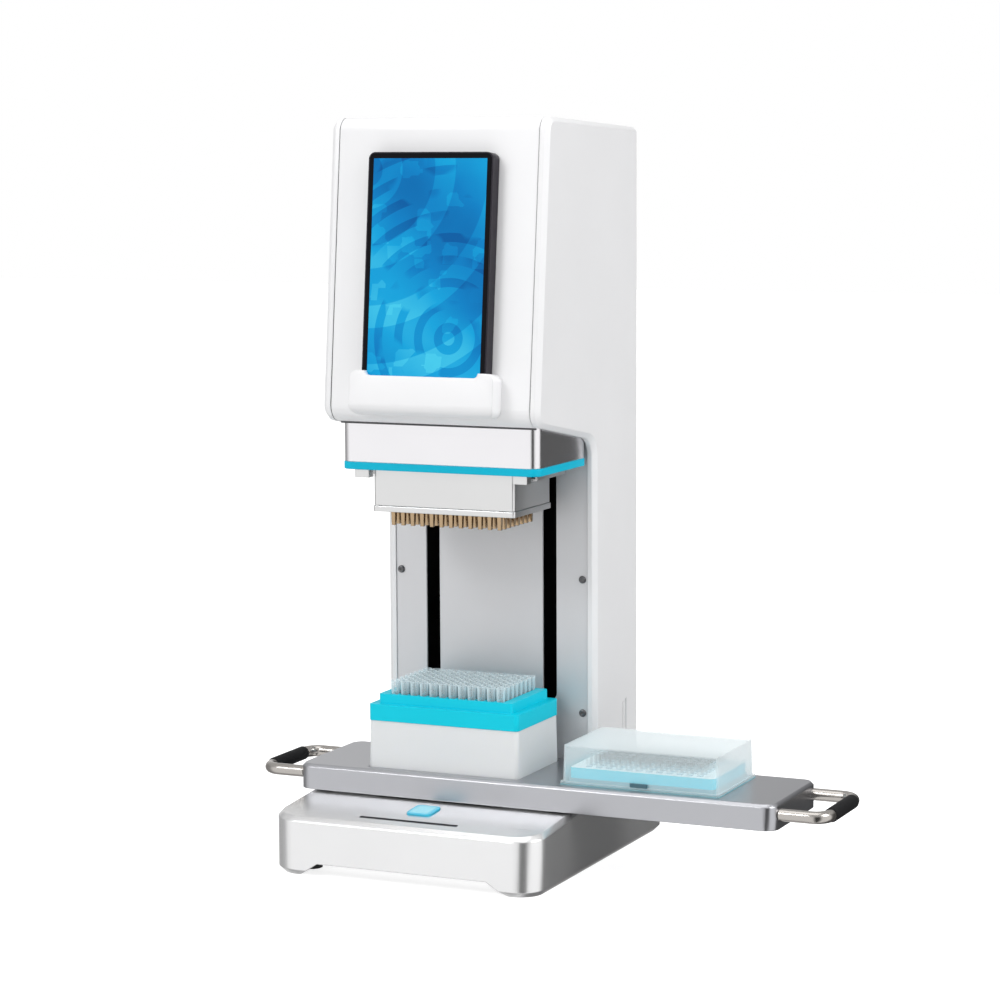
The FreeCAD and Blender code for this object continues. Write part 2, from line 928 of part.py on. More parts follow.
def make_cradle():
    half = cradle_width / 2
    top = cradle_low + cradle_height
    gap = cradle_gap
    block = on_front(-half, half, cradle_low, top, 0.05, cradle_depth, cradle_corner)
    low = head_bottom_front + cradle_low
    high = head_bottom_front + top
    front = -head_front_bottom - cradle_depth
    side = [(front, low, cradle_round), (-head_front_bottom, low), (-head_front_bottom, high + 1),
            (front, high + 1)]
    block = block.common(extrude(side, "x", -half - 1, half + 1))
    pocket = on_front(-screen_width / 2 - gap, screen_width / 2 + gap, screen_low - gap, screen_height,
                      -1, screen_thickness + gap, 0)
    dip = on_front(-cradle_dip_width / 2, cradle_dip_width / 2, top - cradle_dip,
                   screen_height, screen_thickness, cradle_depth + 1, cradle_dip)
    hollow = on_front(-half + cradle_wall, half - cradle_wall, cradle_low + cradle_wall,
                      screen_low - cradle_wall, -1, cradle_depth - cradle_round, 0)
    add("screen_cradle", lean_back(block.cut([pocket, dip, hollow])))


# Frame inside the column


def make_frame():
    half = spine_width / 2
    back = spine_front + spine_web
    outline = [(-half, spine_front), (half, spine_front), (half, back + spine_flange),
               (half - spine_flange_wall, back + spine_flange), (half - spine_flange_wall, back),
               (-half + spine_flange_wall, back), (-half + spine_flange_wall, back + spine_flange),
               (-half, back + spine_flange)]
    spine = extrude(outline, "z", base_top, spine_top)
    windows = []
    for i in range(window_count):
        level = window_low + i * 2 * window_height
        window = rectangle(-window_width / 2, window_width / 2, level, level + window_height)
        windows.append(extrude(window, "y", spine_front - 1, back + 1))
    add("column_spine", spine.cut(windows))
    plate = extrude(squared(open_outline(frame_inset)), "x", seam_x + frame_gap,
                    seam_x + frame_gap + frame_plate)
    plate = plate.cut(bar(column_width, column_front, column_back, 0, base_top))
    tie_back = spine_front + spine_web + spine_flange
    for low in (window_low - tie_height, spine_top - 2 * tie_height):
        plate = plate.fuse(box(spine_width / 2, seam_x + frame_gap, tie_back - tie_depth, tie_back, low,
                               low + tie_height))
    add("side_frames", both_sides(plate))


# Lift: two rails with runners, a screw with its motor, and the carriage with two arms


def make_lift_rails():
    rails = []
    for x in (-slot_spacing / 2, slot_spacing / 2):
        rails.append(box(x - rail_width / 2, x + rail_width / 2, spine_front - rail_depth, spine_front,
                         rail_low, rail_high))
    add("lift_rails", rails)


def motor_body(size, low, height, y):
    """Square motor with its four corners cut off."""
    half = size / 2
    cut = size / 10
    outline = [(-half + cut, y - half), (half - cut, y - half), (half, y - half + cut),
               (half, y + half - cut), (half - cut, y + half), (-half + cut, y + half),
               (-half, y + half - cut), (-half, y - half + cut)]
    return extrude(outline, "z", low, low + height)


def make_lift_drive():
    add("lift_motor", motor_body(motor_size, motor_low, motor_height, screw_place))
    top = motor_low + motor_height
    plate = bar(motor_plate_width, screw_place - motor_size / 2, spine_front, top, top + motor_plate)
    room = coupling_radius + seam
    plate = plate.cut(bar(2 * room, screw_place - room, screw_place + room, top - 1, top + motor_plate + 1))
    screw = rod(0, screw_place, top + seam, bearing_high + bearing_block, screw_radius)
    coupling = post(0, screw_place, top + seam, top + coupling_height, coupling_radius)
    add("lift_screw", screw.fuse(coupling))
    blocks = []
    for level in (bearing_low, bearing_high):
        block = bar(bearing_width, screw_place - bearing_reach, spine_front, level, level + bearing_block)
        blocks.append(block.cut(rod(0, screw_place, level - 1, level + bearing_block + 1,
                                    screw_radius + shaft_gap)))
    add("lift_brackets", [plate] + blocks)


def make_carriage():
    back = carriage_front + carriage_plate
    plate = bar(carriage_width, carriage_front, back, carriage_low, carriage_high)
    window = bar(carriage_window, carriage_front - 1, back + 1, nut_low + nut_height + window_margin,
                 carriage_high - window_margin)
    add("lift_carriage", plate.cut(window))
    nut = bar(nut_width, back, screw_place + nut_width / 2, nut_low, nut_low + nut_height)
    bore = rod(0, screw_place, nut_low - 1, nut_low + nut_height + 1, screw_radius + shaft_gap)
    add("lift_nut", nut.cut(bore))
    runners = []
    for x in (-slot_spacing / 2, slot_spacing / 2):
        for level in (carriage_low + runner_margin, carriage_high - runner_height - runner_margin):
            block = box(x - runner_width / 2, x + runner_width / 2, back, back + runner_depth + runner_overlap,
                        level, level + runner_height)
            notch = box(x - rail_width / 2 - seam, x + rail_width / 2 + seam, spine_front - rail_depth - seam,
                        spine_front + 1, level - 1, level + runner_height + 1)
            runners.append(block.cut(notch))
    add("lift_runners", runners)
    arms = []
    for x in (-slot_spacing / 2, slot_spacing / 2):
        outline = [(hood_back, carriage_low), (carriage_front, carriage_low),
                   (carriage_front, carriage_high), (hood_back, carriage_high - arm_slope, arm_corner)]
        arms.append(extrude(outline, "x", x - arm_thickness / 2, x + arm_thickness / 2))
    add("carriage_arms", arms)


# Hood with its coloured trim, and the clips that hold the channel block under it


def hood_plan(gap, z0, z1):
    half = hood_half - gap
    outline = [(-half, -hood_front + gap, hood_corner - gap), (half, -hood_front + gap, hood_corner - gap),
               (half, hood_back - gap), (-half, hood_back - gap)]
    return extrude(outline, "z", z0, z1)


def stripper_holes():
    return both_sides(post(stripper_rod_place, 0, 0, hood_top, stripper_rod + rod_gap, 8))


def make_hood():
    hood = hood_plan(0, hood_bottom, hood_top)
    half = hood_half - hood_wall
    room = cut_block(-half, half, -hood_front + hood_wall, hood_back - hood_wall, hood_bottom - 1,
                     hood_top - hood_wall, hood_corner / 2)
    add("head_hood", hood.cut(room))
    trim = hood_plan(-trim_proud, trim_bottom, hood_bottom)
    trim = trim.common(bar(column_width, -base_front, hood_back, trim_bottom, hood_bottom))
    half = hood_half - trim_width
    add("hood_trim", trim.cut(box(-half, half, -hood_front + trim_width, hood_back - trim_width,
                                  trim_bottom - 1, hood_bottom + 1)))
    half = hood_half - trim_width - seam
    plate = box(-half, half, -hood_front + trim_width + seam, hood_back - trim_width - seam, trim_bottom,
                hood_bottom)
    half = hood_half - hood_wall - seam
    plate = plate.fuse(cut_block(-half, half, -hood_front + hood_wall + seam, hood_back - hood_wall - seam,
                                 hood_bottom, hood_bottom + lid_plate, hood_corner / 2 + seam))
    half_x = block_width / 2 - block_shoulder
    half_y = block_depth / 2 - block_wall
    opening = box(-half_x, half_x, -half_y, half_y, 0, hood_top)
    add("head_base_plate", plate.cut([opening] + stripper_holes()))


def make_clips():
    inner = block_width / 2 + clip_gap
    top = trim_bottom
    front = -hood_front + clip_inset
    clip = box(inner, inner + clip_width, front, front + clip_depth, top - clip_height, top)
    back = hood_back - channel_inset
    web = box(inner + channel_reach, inner + channel_reach + rail_plate, channel_front, back,
              top - clip_height, top)
    foot = box(inner, inner + channel_reach, channel_front, back, top - clip_height,
               top - clip_height + rail_plate)
    add("block_clips", both_sides(clip) + both_sides(web.fuse(foot)))


# Channel block with its nozzles, and the stripper that pushes the tips off


def make_block():
    half_x = block_width / 2
    half_y = block_depth / 2
    block = cut_block(-half_x, half_x, -half_y, half_y, block_bottom, trim_bottom, block_edge)
    room = box(-half_x + block_wall, half_x - block_wall, -half_y + block_wall, half_y - block_wall,
               block_bottom + block_floor, trim_bottom - block_wall)
    mouth = box(-half_x + block_shoulder, half_x - block_shoulder, -half_y + block_wall,
                half_y - block_wall, block_bottom + block_floor, trim_bottom + 1)
    add("channel_block", block.cut([room, mouth] + stripper_holes()))
    nozzle = taper(nozzle_tip, nozzle_end, block_bottom, nozzle_root, 4)
    add("nozzles", on_grid(nozzle))


def make_stripper():
    half_x = block_width / 2 + stripper_proud
    half_y = block_depth / 2 + stripper_proud
    plate = cut_block(-half_x, half_x, -half_y, half_y, stripper_bottom, stripper_top, block_edge)
    length = (rows - 1) * pitch + stripper_slot
    plate = plate.cut(grid_slots(length, stripper_slot, stripper_bottom - 1, stripper_top + 1))
    add("stripper_plate", plate)
    top = hood_bottom + lid_plate + stripper_travel + stripper_spare
    pin = post(stripper_rod_place, 0, stripper_top, top, stripper_rod, 8)
    head = post(stripper_rod_place, 0, top, top + stripper_head, stripper_rod + stripper_head_rim, 8)
    add("stripper_rods", both_sides(pin.fuse(head)))


# Plunger drive: a plate with one piston for each nozzle, run by a screw and guided by two rods


def make_plungers():
    top = plunger_low + plunger_plate
    plate = bar(plunger_width, -plunger_depth / 2, plunger_depth / 2, plunger_low, top)
    boss = bar(boss_width, -boss_width / 2, boss_width / 2, plunger_low, top + boss_height)
    holes = both_sides(post(guide_place, 0, 0, hood_top, guide_radius + guide_gap))
    holes.append(rod(0, 0, plunger_low - 1, hood_top, drive_screw + shaft_gap))
    add("plunger_plate", plate.fuse(boss).cut(holes))
    add("pistons", on_grid(taper(piston_end, piston_radius, plunger_low, piston_radius, 4)))


def make_plunger_drive():
    floor = hood_bottom + lid_plate
    half = hood_half - hood_wall
    plate = cut_block(-half, half, -plunger_depth / 2, plunger_depth / 2, drive_low, drive_low + drive_plate,
                      hood_corner / 2)
    hole = rod(0, 0, drive_low - 1, drive_low + drive_plate + 1, drive_screw + shaft_gap)
    guides = both_sides(post(guide_place, 0, floor, drive_low, guide_radius))
    add("drive_frame", [plate.cut(hole)] + guides)
    low = drive_low + drive_plate
    add("plunger_motor", motor_body(drive_motor, low, drive_motor_height, 0))
    screw = rod(0, 0, plunger_low + 1, low - seam, drive_screw)
    add("plunger_screw", screw)


# Sliding deck with two places, its rails, its runners and its two handles


def deck_rail_lines():
    return (-deck_rail_spacing / 2, deck_rail_spacing / 2)


def make_deck():
    half = deck_length / 2
    x0 = deck_middle - half
    x1 = deck_middle + half
    plate = rounded_block(x0, x1, -deck_depth / 2, deck_depth / 2, deck_bottom, deck_top, deck_corner)
    plate = plate.makeChamfer(deck_bevel, edges_at(plate, lambda p: p.z > deck_top - 0.01))
    cuts = []
    for x, width, depth in ((left_place, box_width, box_depth),
                            (right_place, lid_width + 2 * lid_flange, lid_depth + 2 * lid_flange)):
        cuts.append(rounded_block(x - width / 2 - nest_gap, x + width / 2 + nest_gap, -depth / 2 - nest_gap,
                                  depth / 2 + nest_gap, nest_level, deck_top + 1, 0))
    wide = deck_runner_width / 2 + slide_gap
    for y in deck_rail_lines():
        cuts.append(box(deck_middle - groove_length / 2, deck_middle + groove_length / 2, y - wide, y + wide,
                        deck_bottom - 1, deck_bottom + groove_height))
    add("deck_plate", plate.cut(cuts))
    rails = []
    for y in deck_rail_lines():
        rails.append(box(deck_middle - deck_rail_length / 2, deck_middle + deck_rail_length / 2,
                         y - deck_rail_width / 2, y + deck_rail_width / 2,
                         deck_bottom + groove_height - deck_rail_height, deck_bottom + groove_height))
    add("deck_rails", rails)
    runners = []
    for x, y in runner_places():
        block = box(x - deck_runner_length / 2, x + deck_runner_length / 2, y - deck_runner_width / 2,
                    y + deck_runner_width / 2, runner_floor(), deck_bottom + groove_height - slide_gap)
        notch = box(x - deck_runner_length, x + deck_runner_length, y - deck_rail_width / 2 - seam,
                    y + deck_rail_width / 2 + seam, deck_bottom + groove_height - deck_rail_height - seam,
                    deck_top)
        runners.append(block.cut(notch))
    add("deck_runners", runners)


def make_handle(end, side):
    """Bent tube and its sleeve at one end of the deck."""
    half = handle_spacing / 2
    reach = end + side * handle_reach
    bend = []
    for turn in (0, 30, 60, 90):
        angle = math.radians(turn)
        bend.append((reach - side * handle_bend * (1 - math.sin(angle)),
                     half - handle_bend * (1 - math.cos(angle))))
    corners = [(end, -half)] + [(x, -y) for x, y in bend] + bend[::-1] + [(end, half)]
    tube = bent_bar([Vector(x, y, handle_height) for x, y in corners], handle_radius)
    length = grip_length / 2
    sleeve = cross_bar(reach, handle_height, -length, length, grip_radius)
    return tube, sleeve.cut(cross_bar(reach, handle_height, -length - 1, length + 1, handle_radius))


def make_handles():
    left = make_handle(deck_middle - deck_length / 2, -1)
    right = make_handle(deck_middle + deck_length / 2, 1)
    add("deck_handles", [left[0], right[0]])
    add("handle_grips", [left[1], right[1]])


# Tip box: a white base, a coloured collar with a raised tier, and the tips


def tip_radius(level):
    """Outside radius of a tip at a level."""
    return tip_mouth - (tip_mouth - tip_end) * (tip_top - level) / tip_length


def make_tip_box():
    base = drafted_block(box_width, box_depth, nest_level, box_top, box_corner, box_draft, left_place)
    hollow = drafted_block(box_width - 2 * box_wall, box_depth - 2 * box_wall, nest_level + box_wall,
                           box_top + 1, 0, box_draft, left_place)
    add("tip_box_base", base.cut(hollow))
    width = box_width - 2 * box_draft + 2 * collar_proud
    depth = box_depth - 2 * box_draft + 2 * collar_proud
    collar = rounded_block(left_place - width / 2, left_place + width / 2, -depth / 2, depth / 2, box_top,
                           collar_top, box_corner)
    tier = cut_block(left_place - tier_width / 2, left_place + tier_width / 2, -tier_depth / 2,
                     tier_depth / 2, collar_top, tier_top, box_wall)
    half_x = tier_width / 2 - tier_wall
    half_y = tier_depth / 2 - tier_wall
    room = box(left_place - half_x, left_place + half_x, -half_y, half_y, box_top - 1, tier_top - tier_floor)
    rim = box(left_place - width / 2 + ledge, left_place + width / 2 - ledge, -depth / 2 + ledge,
              depth / 2 - ledge, box_top - 1, collar_top - tier_floor)
    slot = 2 * (tip_radius(tier_top) + tip_gap)
    length = (rows - 1) * pitch + slot
    half_x = ((columns - 1) * pitch + slot) / 2
    window = box(left_place - half_x, left_place + half_x, -length / 2, length / 2, tier_top - tier_floor,
                 tier_top)
    add("tip_box_collar", collar.fuse(tier).cut([room, rim, window]))
    slots = grid_slots(length + 2, slot, tier_top - tier_floor - 1, tier_top + 1, left_place)
    add("tip_box_bars", window.cut(slots))
    outside = taper(tip_top - tip_length, tip_end, tip_top, tip_mouth)
    bore = taper(tip_top - tip_bore, nozzle_end + seam, tip_top + 1, nozzle_root + seam, 4)
    add("tips", on_grid(outside.cut(bore), left_place))


# Low rack of short tips under a clear lid


def rack_block(gap, z0, z1, cut=0.0):
    """A block over the rack's outline, moved inward by the gap."""
    half_x = rack_width / 2 - gap
    half_y = rack_depth / 2 - gap
    if cut > 0:
        return cut_block(right_place - half_x, right_place + half_x, -half_y, half_y, z0, z1, cut)
    return box(right_place - half_x, right_place + half_x, -half_y, half_y, z0, z1)


def lid_edge(z0, z1):
    """The lid's outline at its lower edge, which the rack's foot shares."""
    half_x = lid_width / 2 + lid_flange
    half_y = lid_depth / 2 + lid_flange
    return cut_block(right_place - half_x, right_place + half_x, -half_y, half_y, z0, z1, lid_flange)


def make_rack():
    floor = nest_level
    low = floor + rack_height
    frame = rack_block(0, floor, low, rack_wall).fuse(lid_edge(floor, floor + rack_foot))
    add("rack_frame", frame.cut(rack_block(rack_wall, floor - 1, low - rack_wall)))
    level = low + band_height
    band = rack_block(band_inset, low, level, rack_wall)
    add("rack_band", band.cut(rack_block(band_inset + band_wall, low - 1, level - rack_wall)))
    short_tip = taper(level, short_tip_radius - short_tip_draft, level + short_tip_proud, short_tip_radius, 4)
    add("rack_tips", on_grid(short_tip, right_place))


def make_lid():
    floor = nest_level + rack_foot
    lid = drafted_block(lid_width, lid_depth, floor, floor + lid_height, lid_corner, lid_draft, right_place)
    flange = lid_edge(floor, floor + lid_flange_height)
    inside = drafted_block(lid_width - 2 * lid_wall, lid_depth - 2 * lid_wall, floor - 1,
                           floor + lid_height - lid_wall, 0, lid_draft, right_place)
    add("rack_lid", lid.fuse(flange).cut(inside))
    front = -lid_depth / 2 - lid_flange
    latch = box(right_place - latch_width / 2, right_place + latch_width / 2, front, front + lid_flange,
                floor + lid_flange_height, floor + lid_flange_height + latch_height)
    add("lid_latch", latch)


# Back of the column: power inlet, rocker switch, ports and fan


def make_inlet():
    half = inlet_width / 2 - seam
    half_z = inlet_height / 2 - seam
    back = column_back + bezel_proud
    body = box(inlet_place - half, inlet_place + half, back - inlet_depth, back, inlet_level - half_z,
               inlet_level + half_z)
    bezel = box(inlet_place - half - bezel_rim, inlet_place + half + bezel_rim, column_back, back,
                inlet_level - half_z - bezel_rim, inlet_level + half_z + bezel_rim)
    x0 = inlet_place - half + inlet_wall
    x1 = inlet_place + half - inlet_wall
    z0 = inlet_level - half_z + inlet_wall
    z1 = inlet_level + half_z - inlet_wall
    floor = back - inlet_depth + inlet_wall
    socket = extrude([(x0, z0), (x1, z0), (x1, z1 - inlet_corner), (x1 - inlet_corner, z1),
                      (x0 + inlet_corner, z1), (x0, z1 - inlet_corner)], "y", floor, back + 1)
    shell = body.fuse(bezel).cut(socket)
    pins = []
    for x, level in ((-pin_spacing, live_level), (0, earth_level), (pin_spacing, live_level)):
        x += inlet_place
        z = inlet_level + level
        pins.append(box(x - pin_width / 2, x + pin_width / 2, floor, back - pin_inset, z - pin_height / 2,
                        z + pin_height / 2))
    add("power_inlet", [shell] + pins)


def make_switch():
    """Frame of the mains switch, with its rocker on a pivot pin."""
    half = switch_width / 2 - seam
    half_z = switch_height / 2 - seam
    back = column_back + bezel_proud
    frame = box(switch_place - half - switch_rim, switch_place + half + switch_rim, column_back, back,
                inlet_level - half_z - switch_rim, inlet_level + half_z + switch_rim)
    frame = frame.fuse(box(switch_place - half, switch_place + half, back - inlet_depth, column_back,
                           inlet_level - half_z, inlet_level + half_z))
    inner = half - well_wall
    inner_z = half_z - well_wall
    well = box(switch_place - inner, switch_place + inner, back - well_depth, back + 1,
               inlet_level - inner_z, inlet_level + inner_z)
    pivot = back - rocker_pivot
    bore = along_x(inner + pivot_reach + seam, pivot, pivot_radius + shaft_gap)
    width = inner - seam
    reach = inner_z - rocker_gap
    heel = pivot - rocker_heel
    edge = pivot + rocker_edge
    crown = back + rocker_crown
    outline = [(heel, inlet_level - rocker_foot), (edge, inlet_level - reach), (crown, inlet_level - reach),
               (back + rocker_dip, inlet_level), (crown, inlet_level + reach), (edge, inlet_level + reach),
               (heel, inlet_level + rocker_foot)]
    rocker = extrude(outline, "x", switch_place - width, switch_place + width)
    add("power_rocker", rocker.fuse(along_x(inner + pivot_reach, pivot, pivot_radius)))
    return frame.cut([well, bore])


def along_x(half, y, radius):
    """Round pin through the middle of the mains switch."""
    return Part.makeCylinder(radius, 2 * half, Vector(switch_place - half, y, inlet_level), Vector(1, 0, 0))


def make_ports():
    ports = []
    for place in (port_place, port_place + port_spacing):
        half = port_width / 2 - seam
        half_z = port_height / 2 - seam
        body = box(place - half, place + half, column_back - port_depth, column_back + port_proud,
                   inlet_level - half_z, inlet_level + half_z)
        mouth = box(place - half + port_wall, place + half - port_wall, column_back - port_mouth,
                    column_back + 1, inlet_level - half_z + port_wall, inlet_level + half_z - port_wall)
        ports.append(body.cut(mouth))
    return ports


def make_fan():
    """Frame of the fan, with the rotor turning on a shaft in its middle."""
    back = column_back - cover_wall - fan_clear
    front = back - fan_depth
    half = fan_size / 2
    bearing = front + bearing_depth
    frame = bar(fan_size, front, back, fan_level - half, fan_level + half)
    frame = frame.cut(cross_bar(0, fan_level, front - 1, back + 1, half - fan_wall, fan_sides))
    strut = bar(fan_size - fan_wall, front, front + strut_width / 2, fan_level - strut_width / 2,
                fan_level + strut_width / 2)
    frame = frame.fuse([strut, cross_bar(0, fan_level, front, bearing, fan_hub)])
    frame = frame.cut(rod_y(0, fan_level, front - 1, bearing + 1, fan_shaft + shaft_gap))
    rotor = cross_bar(0, fan_level, bearing + seam, back - fan_gap, fan_hub)
    shaft = rod_y(0, fan_level, front + seam, bearing + 1, fan_shaft)
    blades = []
    for i in range(fan_blades):
        blade = box(fan_hub - 1, half - fan_wall - fan_gap, bearing + fan_gap, back - 2 * fan_gap,
                    fan_level - fan_blade / 2, fan_level + fan_blade / 2)
        blade.rotate(Vector(fan_hub, front + fan_depth / 2, fan_level), Vector(1, 0, 0), blade_pitch)
        blade.rotate(Vector(0, 0, fan_level), Vector(0, 1, 0), 360 * i / fan_blades)
        blades.append(blade)
    add("fan_rotor", rotor.fuse([shaft] + blades))
    return frame


def make_boards():
    """Control board on its posts, and the power supply, both on the base's bottom plate."""
    plate_top = foot_height + bottom_plate
    low = plate_top + board_lift
    top = low + board_thickness
    half = base_width / 4 - board_inset
    front = -nose_start + board_front
    back = base_back - supply_back - supply_length - board_gap
    board = bar(2 * half, front, back, low, top)
    posts = []
    for x in (-half + board_post, half - board_post):
        for y in (front + board_post, back - board_post):
            posts.append(box(x - board_post / 2, x + board_post / 2, y - board_post / 2, y + board_post / 2,
                             plate_top, low))
    chip = bar(chip_width, -chip_width / 2, chip_width / 2, top, top + chip_height)
    add("control_board", board.fuse(posts + [chip]))
    supply_top = plate_top + supply_height
    back = base_back - supply_back
    supply = bar(supply_width, back - supply_length, back, plate_top, supply_top)
    add("power_supply", supply.makeChamfer(supply_edge, edges_at(supply, lambda p: p.z > supply_top - 0.1)))


def main():
    make_base()
    make_bottom_plate()
    make_nose_controls()
    make_covers()
    make_rear_cover()
    make_front_panel()
    make_screen()
    make_cradle()
    make_frame()
    make_lift_rails()
    make_lift_drive()
    make_carriage()
    make_hood()
    make_clips()
    make_block()
    make_stripper()
    make_plungers()
    make_plunger_drive()
    make_deck()
    make_handles()
    make_tip_box()
    make_rack()
    make_lid()
    make_inlet()
    add("rear_fittings", [make_switch()] + make_ports() + [make_fan()])
    make_boards()
    os.makedirs("parts", exist_ok=True)
    for name, shape in nodes.items():
        shape.exportStep("parts/" + name + ".step")
    print(len(nodes), "pieces")


main()
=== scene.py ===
import math

import bmesh
import bpy
from mathutils import Matrix, Vector


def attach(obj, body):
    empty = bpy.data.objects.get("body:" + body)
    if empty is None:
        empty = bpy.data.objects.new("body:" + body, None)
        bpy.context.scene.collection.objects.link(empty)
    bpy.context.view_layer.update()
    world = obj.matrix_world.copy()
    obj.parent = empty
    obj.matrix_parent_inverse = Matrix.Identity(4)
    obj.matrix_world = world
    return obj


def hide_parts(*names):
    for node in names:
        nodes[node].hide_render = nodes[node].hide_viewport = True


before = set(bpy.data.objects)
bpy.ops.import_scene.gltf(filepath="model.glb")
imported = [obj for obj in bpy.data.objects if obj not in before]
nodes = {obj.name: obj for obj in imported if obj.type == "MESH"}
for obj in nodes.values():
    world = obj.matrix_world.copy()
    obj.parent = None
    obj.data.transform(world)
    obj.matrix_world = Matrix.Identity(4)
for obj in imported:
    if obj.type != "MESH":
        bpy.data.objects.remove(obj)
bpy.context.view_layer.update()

# Base casting
# One aluminium casting, painted satin silver, with a sloping nose and an arch under its front.
# It stands on four rubber feet and is closed below by a steel plate.


def socket(group, name, kind, value=None, side="INPUT"):
    made = group.interface.new_socket(name=name, in_out=side, socket_type=kind)
    if value is not None:
        made.default_value = value
    return made


def place(tree, kind, x, y, **settings):
    node = tree.nodes.new(kind)
    node.location = (x, y)
    for key, value in settings.items():
        setattr(node, key, value)
    return node


def make_shop_surface():
    """Group for a made surface: uneven tone, fine grain, softened and slightly worn edges."""
    group = bpy.data.node_groups.new("shop_surface", "ShaderNodeTree")
    socket(group, "Colour", "NodeSocketColor", (0.8, 0.8, 0.8, 1))
    socket(group, "Worn Colour", "NodeSocketColor", (0.9, 0.9, 0.9, 1))
    socket(group, "Roughness", "NodeSocketFloat", 0.4)
    socket(group, "Unevenness", "NodeSocketFloat", 0.04)
    socket(group, "Grain Size", "NodeSocketFloat", 900.0)
    socket(group, "Grain Depth", "NodeSocketFloat", 0.05)
    socket(group, "Stretch", "NodeSocketVector", (1, 1, 1))
    socket(group, "Edge Radius", "NodeSocketFloat", 0.0008)
    socket(group, "Edge Wear", "NodeSocketFloat", 0.3)
    socket(group, "Colour", "NodeSocketColor", side="OUTPUT")
    socket(group, "Roughness", "NodeSocketFloat", side="OUTPUT")
    socket(group, "Normal", "NodeSocketVector", side="OUTPUT")
    given = place(group, "NodeGroupInput", -1400, 0)
    sent = place(group, "NodeGroupOutput", 900, 0)
    link = group.links.new
    where = place(group, "ShaderNodeTexCoord", -1400, -400)
    stretched = place(group, "ShaderNodeVectorMath", -1150, -400, operation="MULTIPLY")
    link(where.outputs["Object"], stretched.inputs[0])
    link(given.outputs["Stretch"], stretched.inputs[1])
    grain = place(group, "ShaderNodeTexNoise", -900, -300)
    grain.inputs["Detail"].default_value = 3
    link(stretched.outputs[0], grain.inputs["Vector"])
    link(given.outputs["Grain Size"], grain.inputs["Scale"])
    cloud = place(group, "ShaderNodeTexNoise", -900, -600)
    cloud.inputs["Scale"].default_value = 9
    cloud.inputs["Detail"].default_value = 5
    cloud.inputs["Roughness"].default_value = 0.62
    link(where.outputs["Object"], cloud.inputs["Vector"])
    centred = place(group, "ShaderNodeMath", -650, -600, operation="SUBTRACT")
    link(cloud.outputs["Fac"], centred.inputs[0])
    centred.inputs[1].default_value = 0.5
    uneven = place(group, "ShaderNodeMath", -450, -600, operation="MULTIPLY")
    link(centred.outputs[0], uneven.inputs[0])
    link(given.outputs["Unevenness"], uneven.inputs[1])
    tone = place(group, "ShaderNodeMath", -250, -600, operation="MULTIPLY_ADD")
    link(uneven.outputs[0], tone.inputs[0])
    tone.inputs[1].default_value = 2
    tone.inputs[2].default_value = 1
    soft = place(group, "ShaderNodeBevel", -900, 200, samples=6)
    link(given.outputs["Edge Radius"], soft.inputs["Radius"])
    flat = place(group, "ShaderNodeNewGeometry", -900, 50)
    agree = place(group, "ShaderNodeVectorMath", -650, 150, operation="DOT_PRODUCT")
    link(soft.outputs[0], agree.inputs[0])
    link(flat.outputs["Normal"], agree.inputs[1])
    edge = place(group, "ShaderNodeMapRange", -450, 150)
    edge.inputs["From Min"].default_value = 0.995
    edge.inputs["From Max"].default_value = 0.80
    link(agree.outputs["Value"], edge.inputs["Value"])
    scuffs = place(group, "ShaderNodeTexNoise", -650, -150)
    scuffs.inputs["Scale"].default_value = 160
    scuffs.inputs["Detail"].default_value = 4
    link(where.outputs["Object"], scuffs.inputs["Vector"])
    broken = place(group, "ShaderNodeMapRange", -450, -100)
    broken.inputs["From Min"].default_value = 0.46
    broken.inputs["From Max"].default_value = 0.62
    link(scuffs.outputs["Fac"], broken.inputs["Value"])
    worn = place(group, "ShaderNodeMath", -250, 100, operation="MULTIPLY")
    link(edge.outputs[0], worn.inputs[0])
    link(broken.outputs[0], worn.inputs[1])
    amount = place(group, "ShaderNodeMath", -50, 100, operation="MULTIPLY")
    link(worn.outputs[0], amount.inputs[0])
    link(given.outputs["Edge Wear"], amount.inputs[1])
    toned = place(group, "ShaderNodeVectorMath", 0, 400, operation="SCALE")
    link(given.outputs["Colour"], toned.inputs[0])
    link(tone.outputs[0], toned.inputs["Scale"])
    mixed = place(group, "ShaderNodeMix", 300, 300, data_type="RGBA")
    link(amount.outputs[0], mixed.inputs["Factor"])
    link(toned.outputs[0], mixed.inputs[6])
    link(given.outputs["Worn Colour"], mixed.inputs[7])
    link(mixed.outputs[2], sent.inputs["Colour"])
    rough = place(group, "ShaderNodeMath", 300, -200, operation="ADD", use_clamp=True)
    link(given.outputs["Roughness"], rough.inputs[0])
    link(uneven.outputs[0], rough.inputs[1])
    link(rough.outputs[0], sent.inputs["Roughness"])
    bump = place(group, "ShaderNodeBump", 500, 0)
    bump.inputs["Distance"].default_value = 0.0002
    link(given.outputs["Grain Depth"], bump.inputs["Strength"])
    link(grain.outputs["Fac"], bump.inputs["Height"])
    link(soft.outputs[0], bump.inputs["Normal"])
    link(bump.outputs[0], sent.inputs["Normal"])
    return group


shop_surface = make_shop_surface()


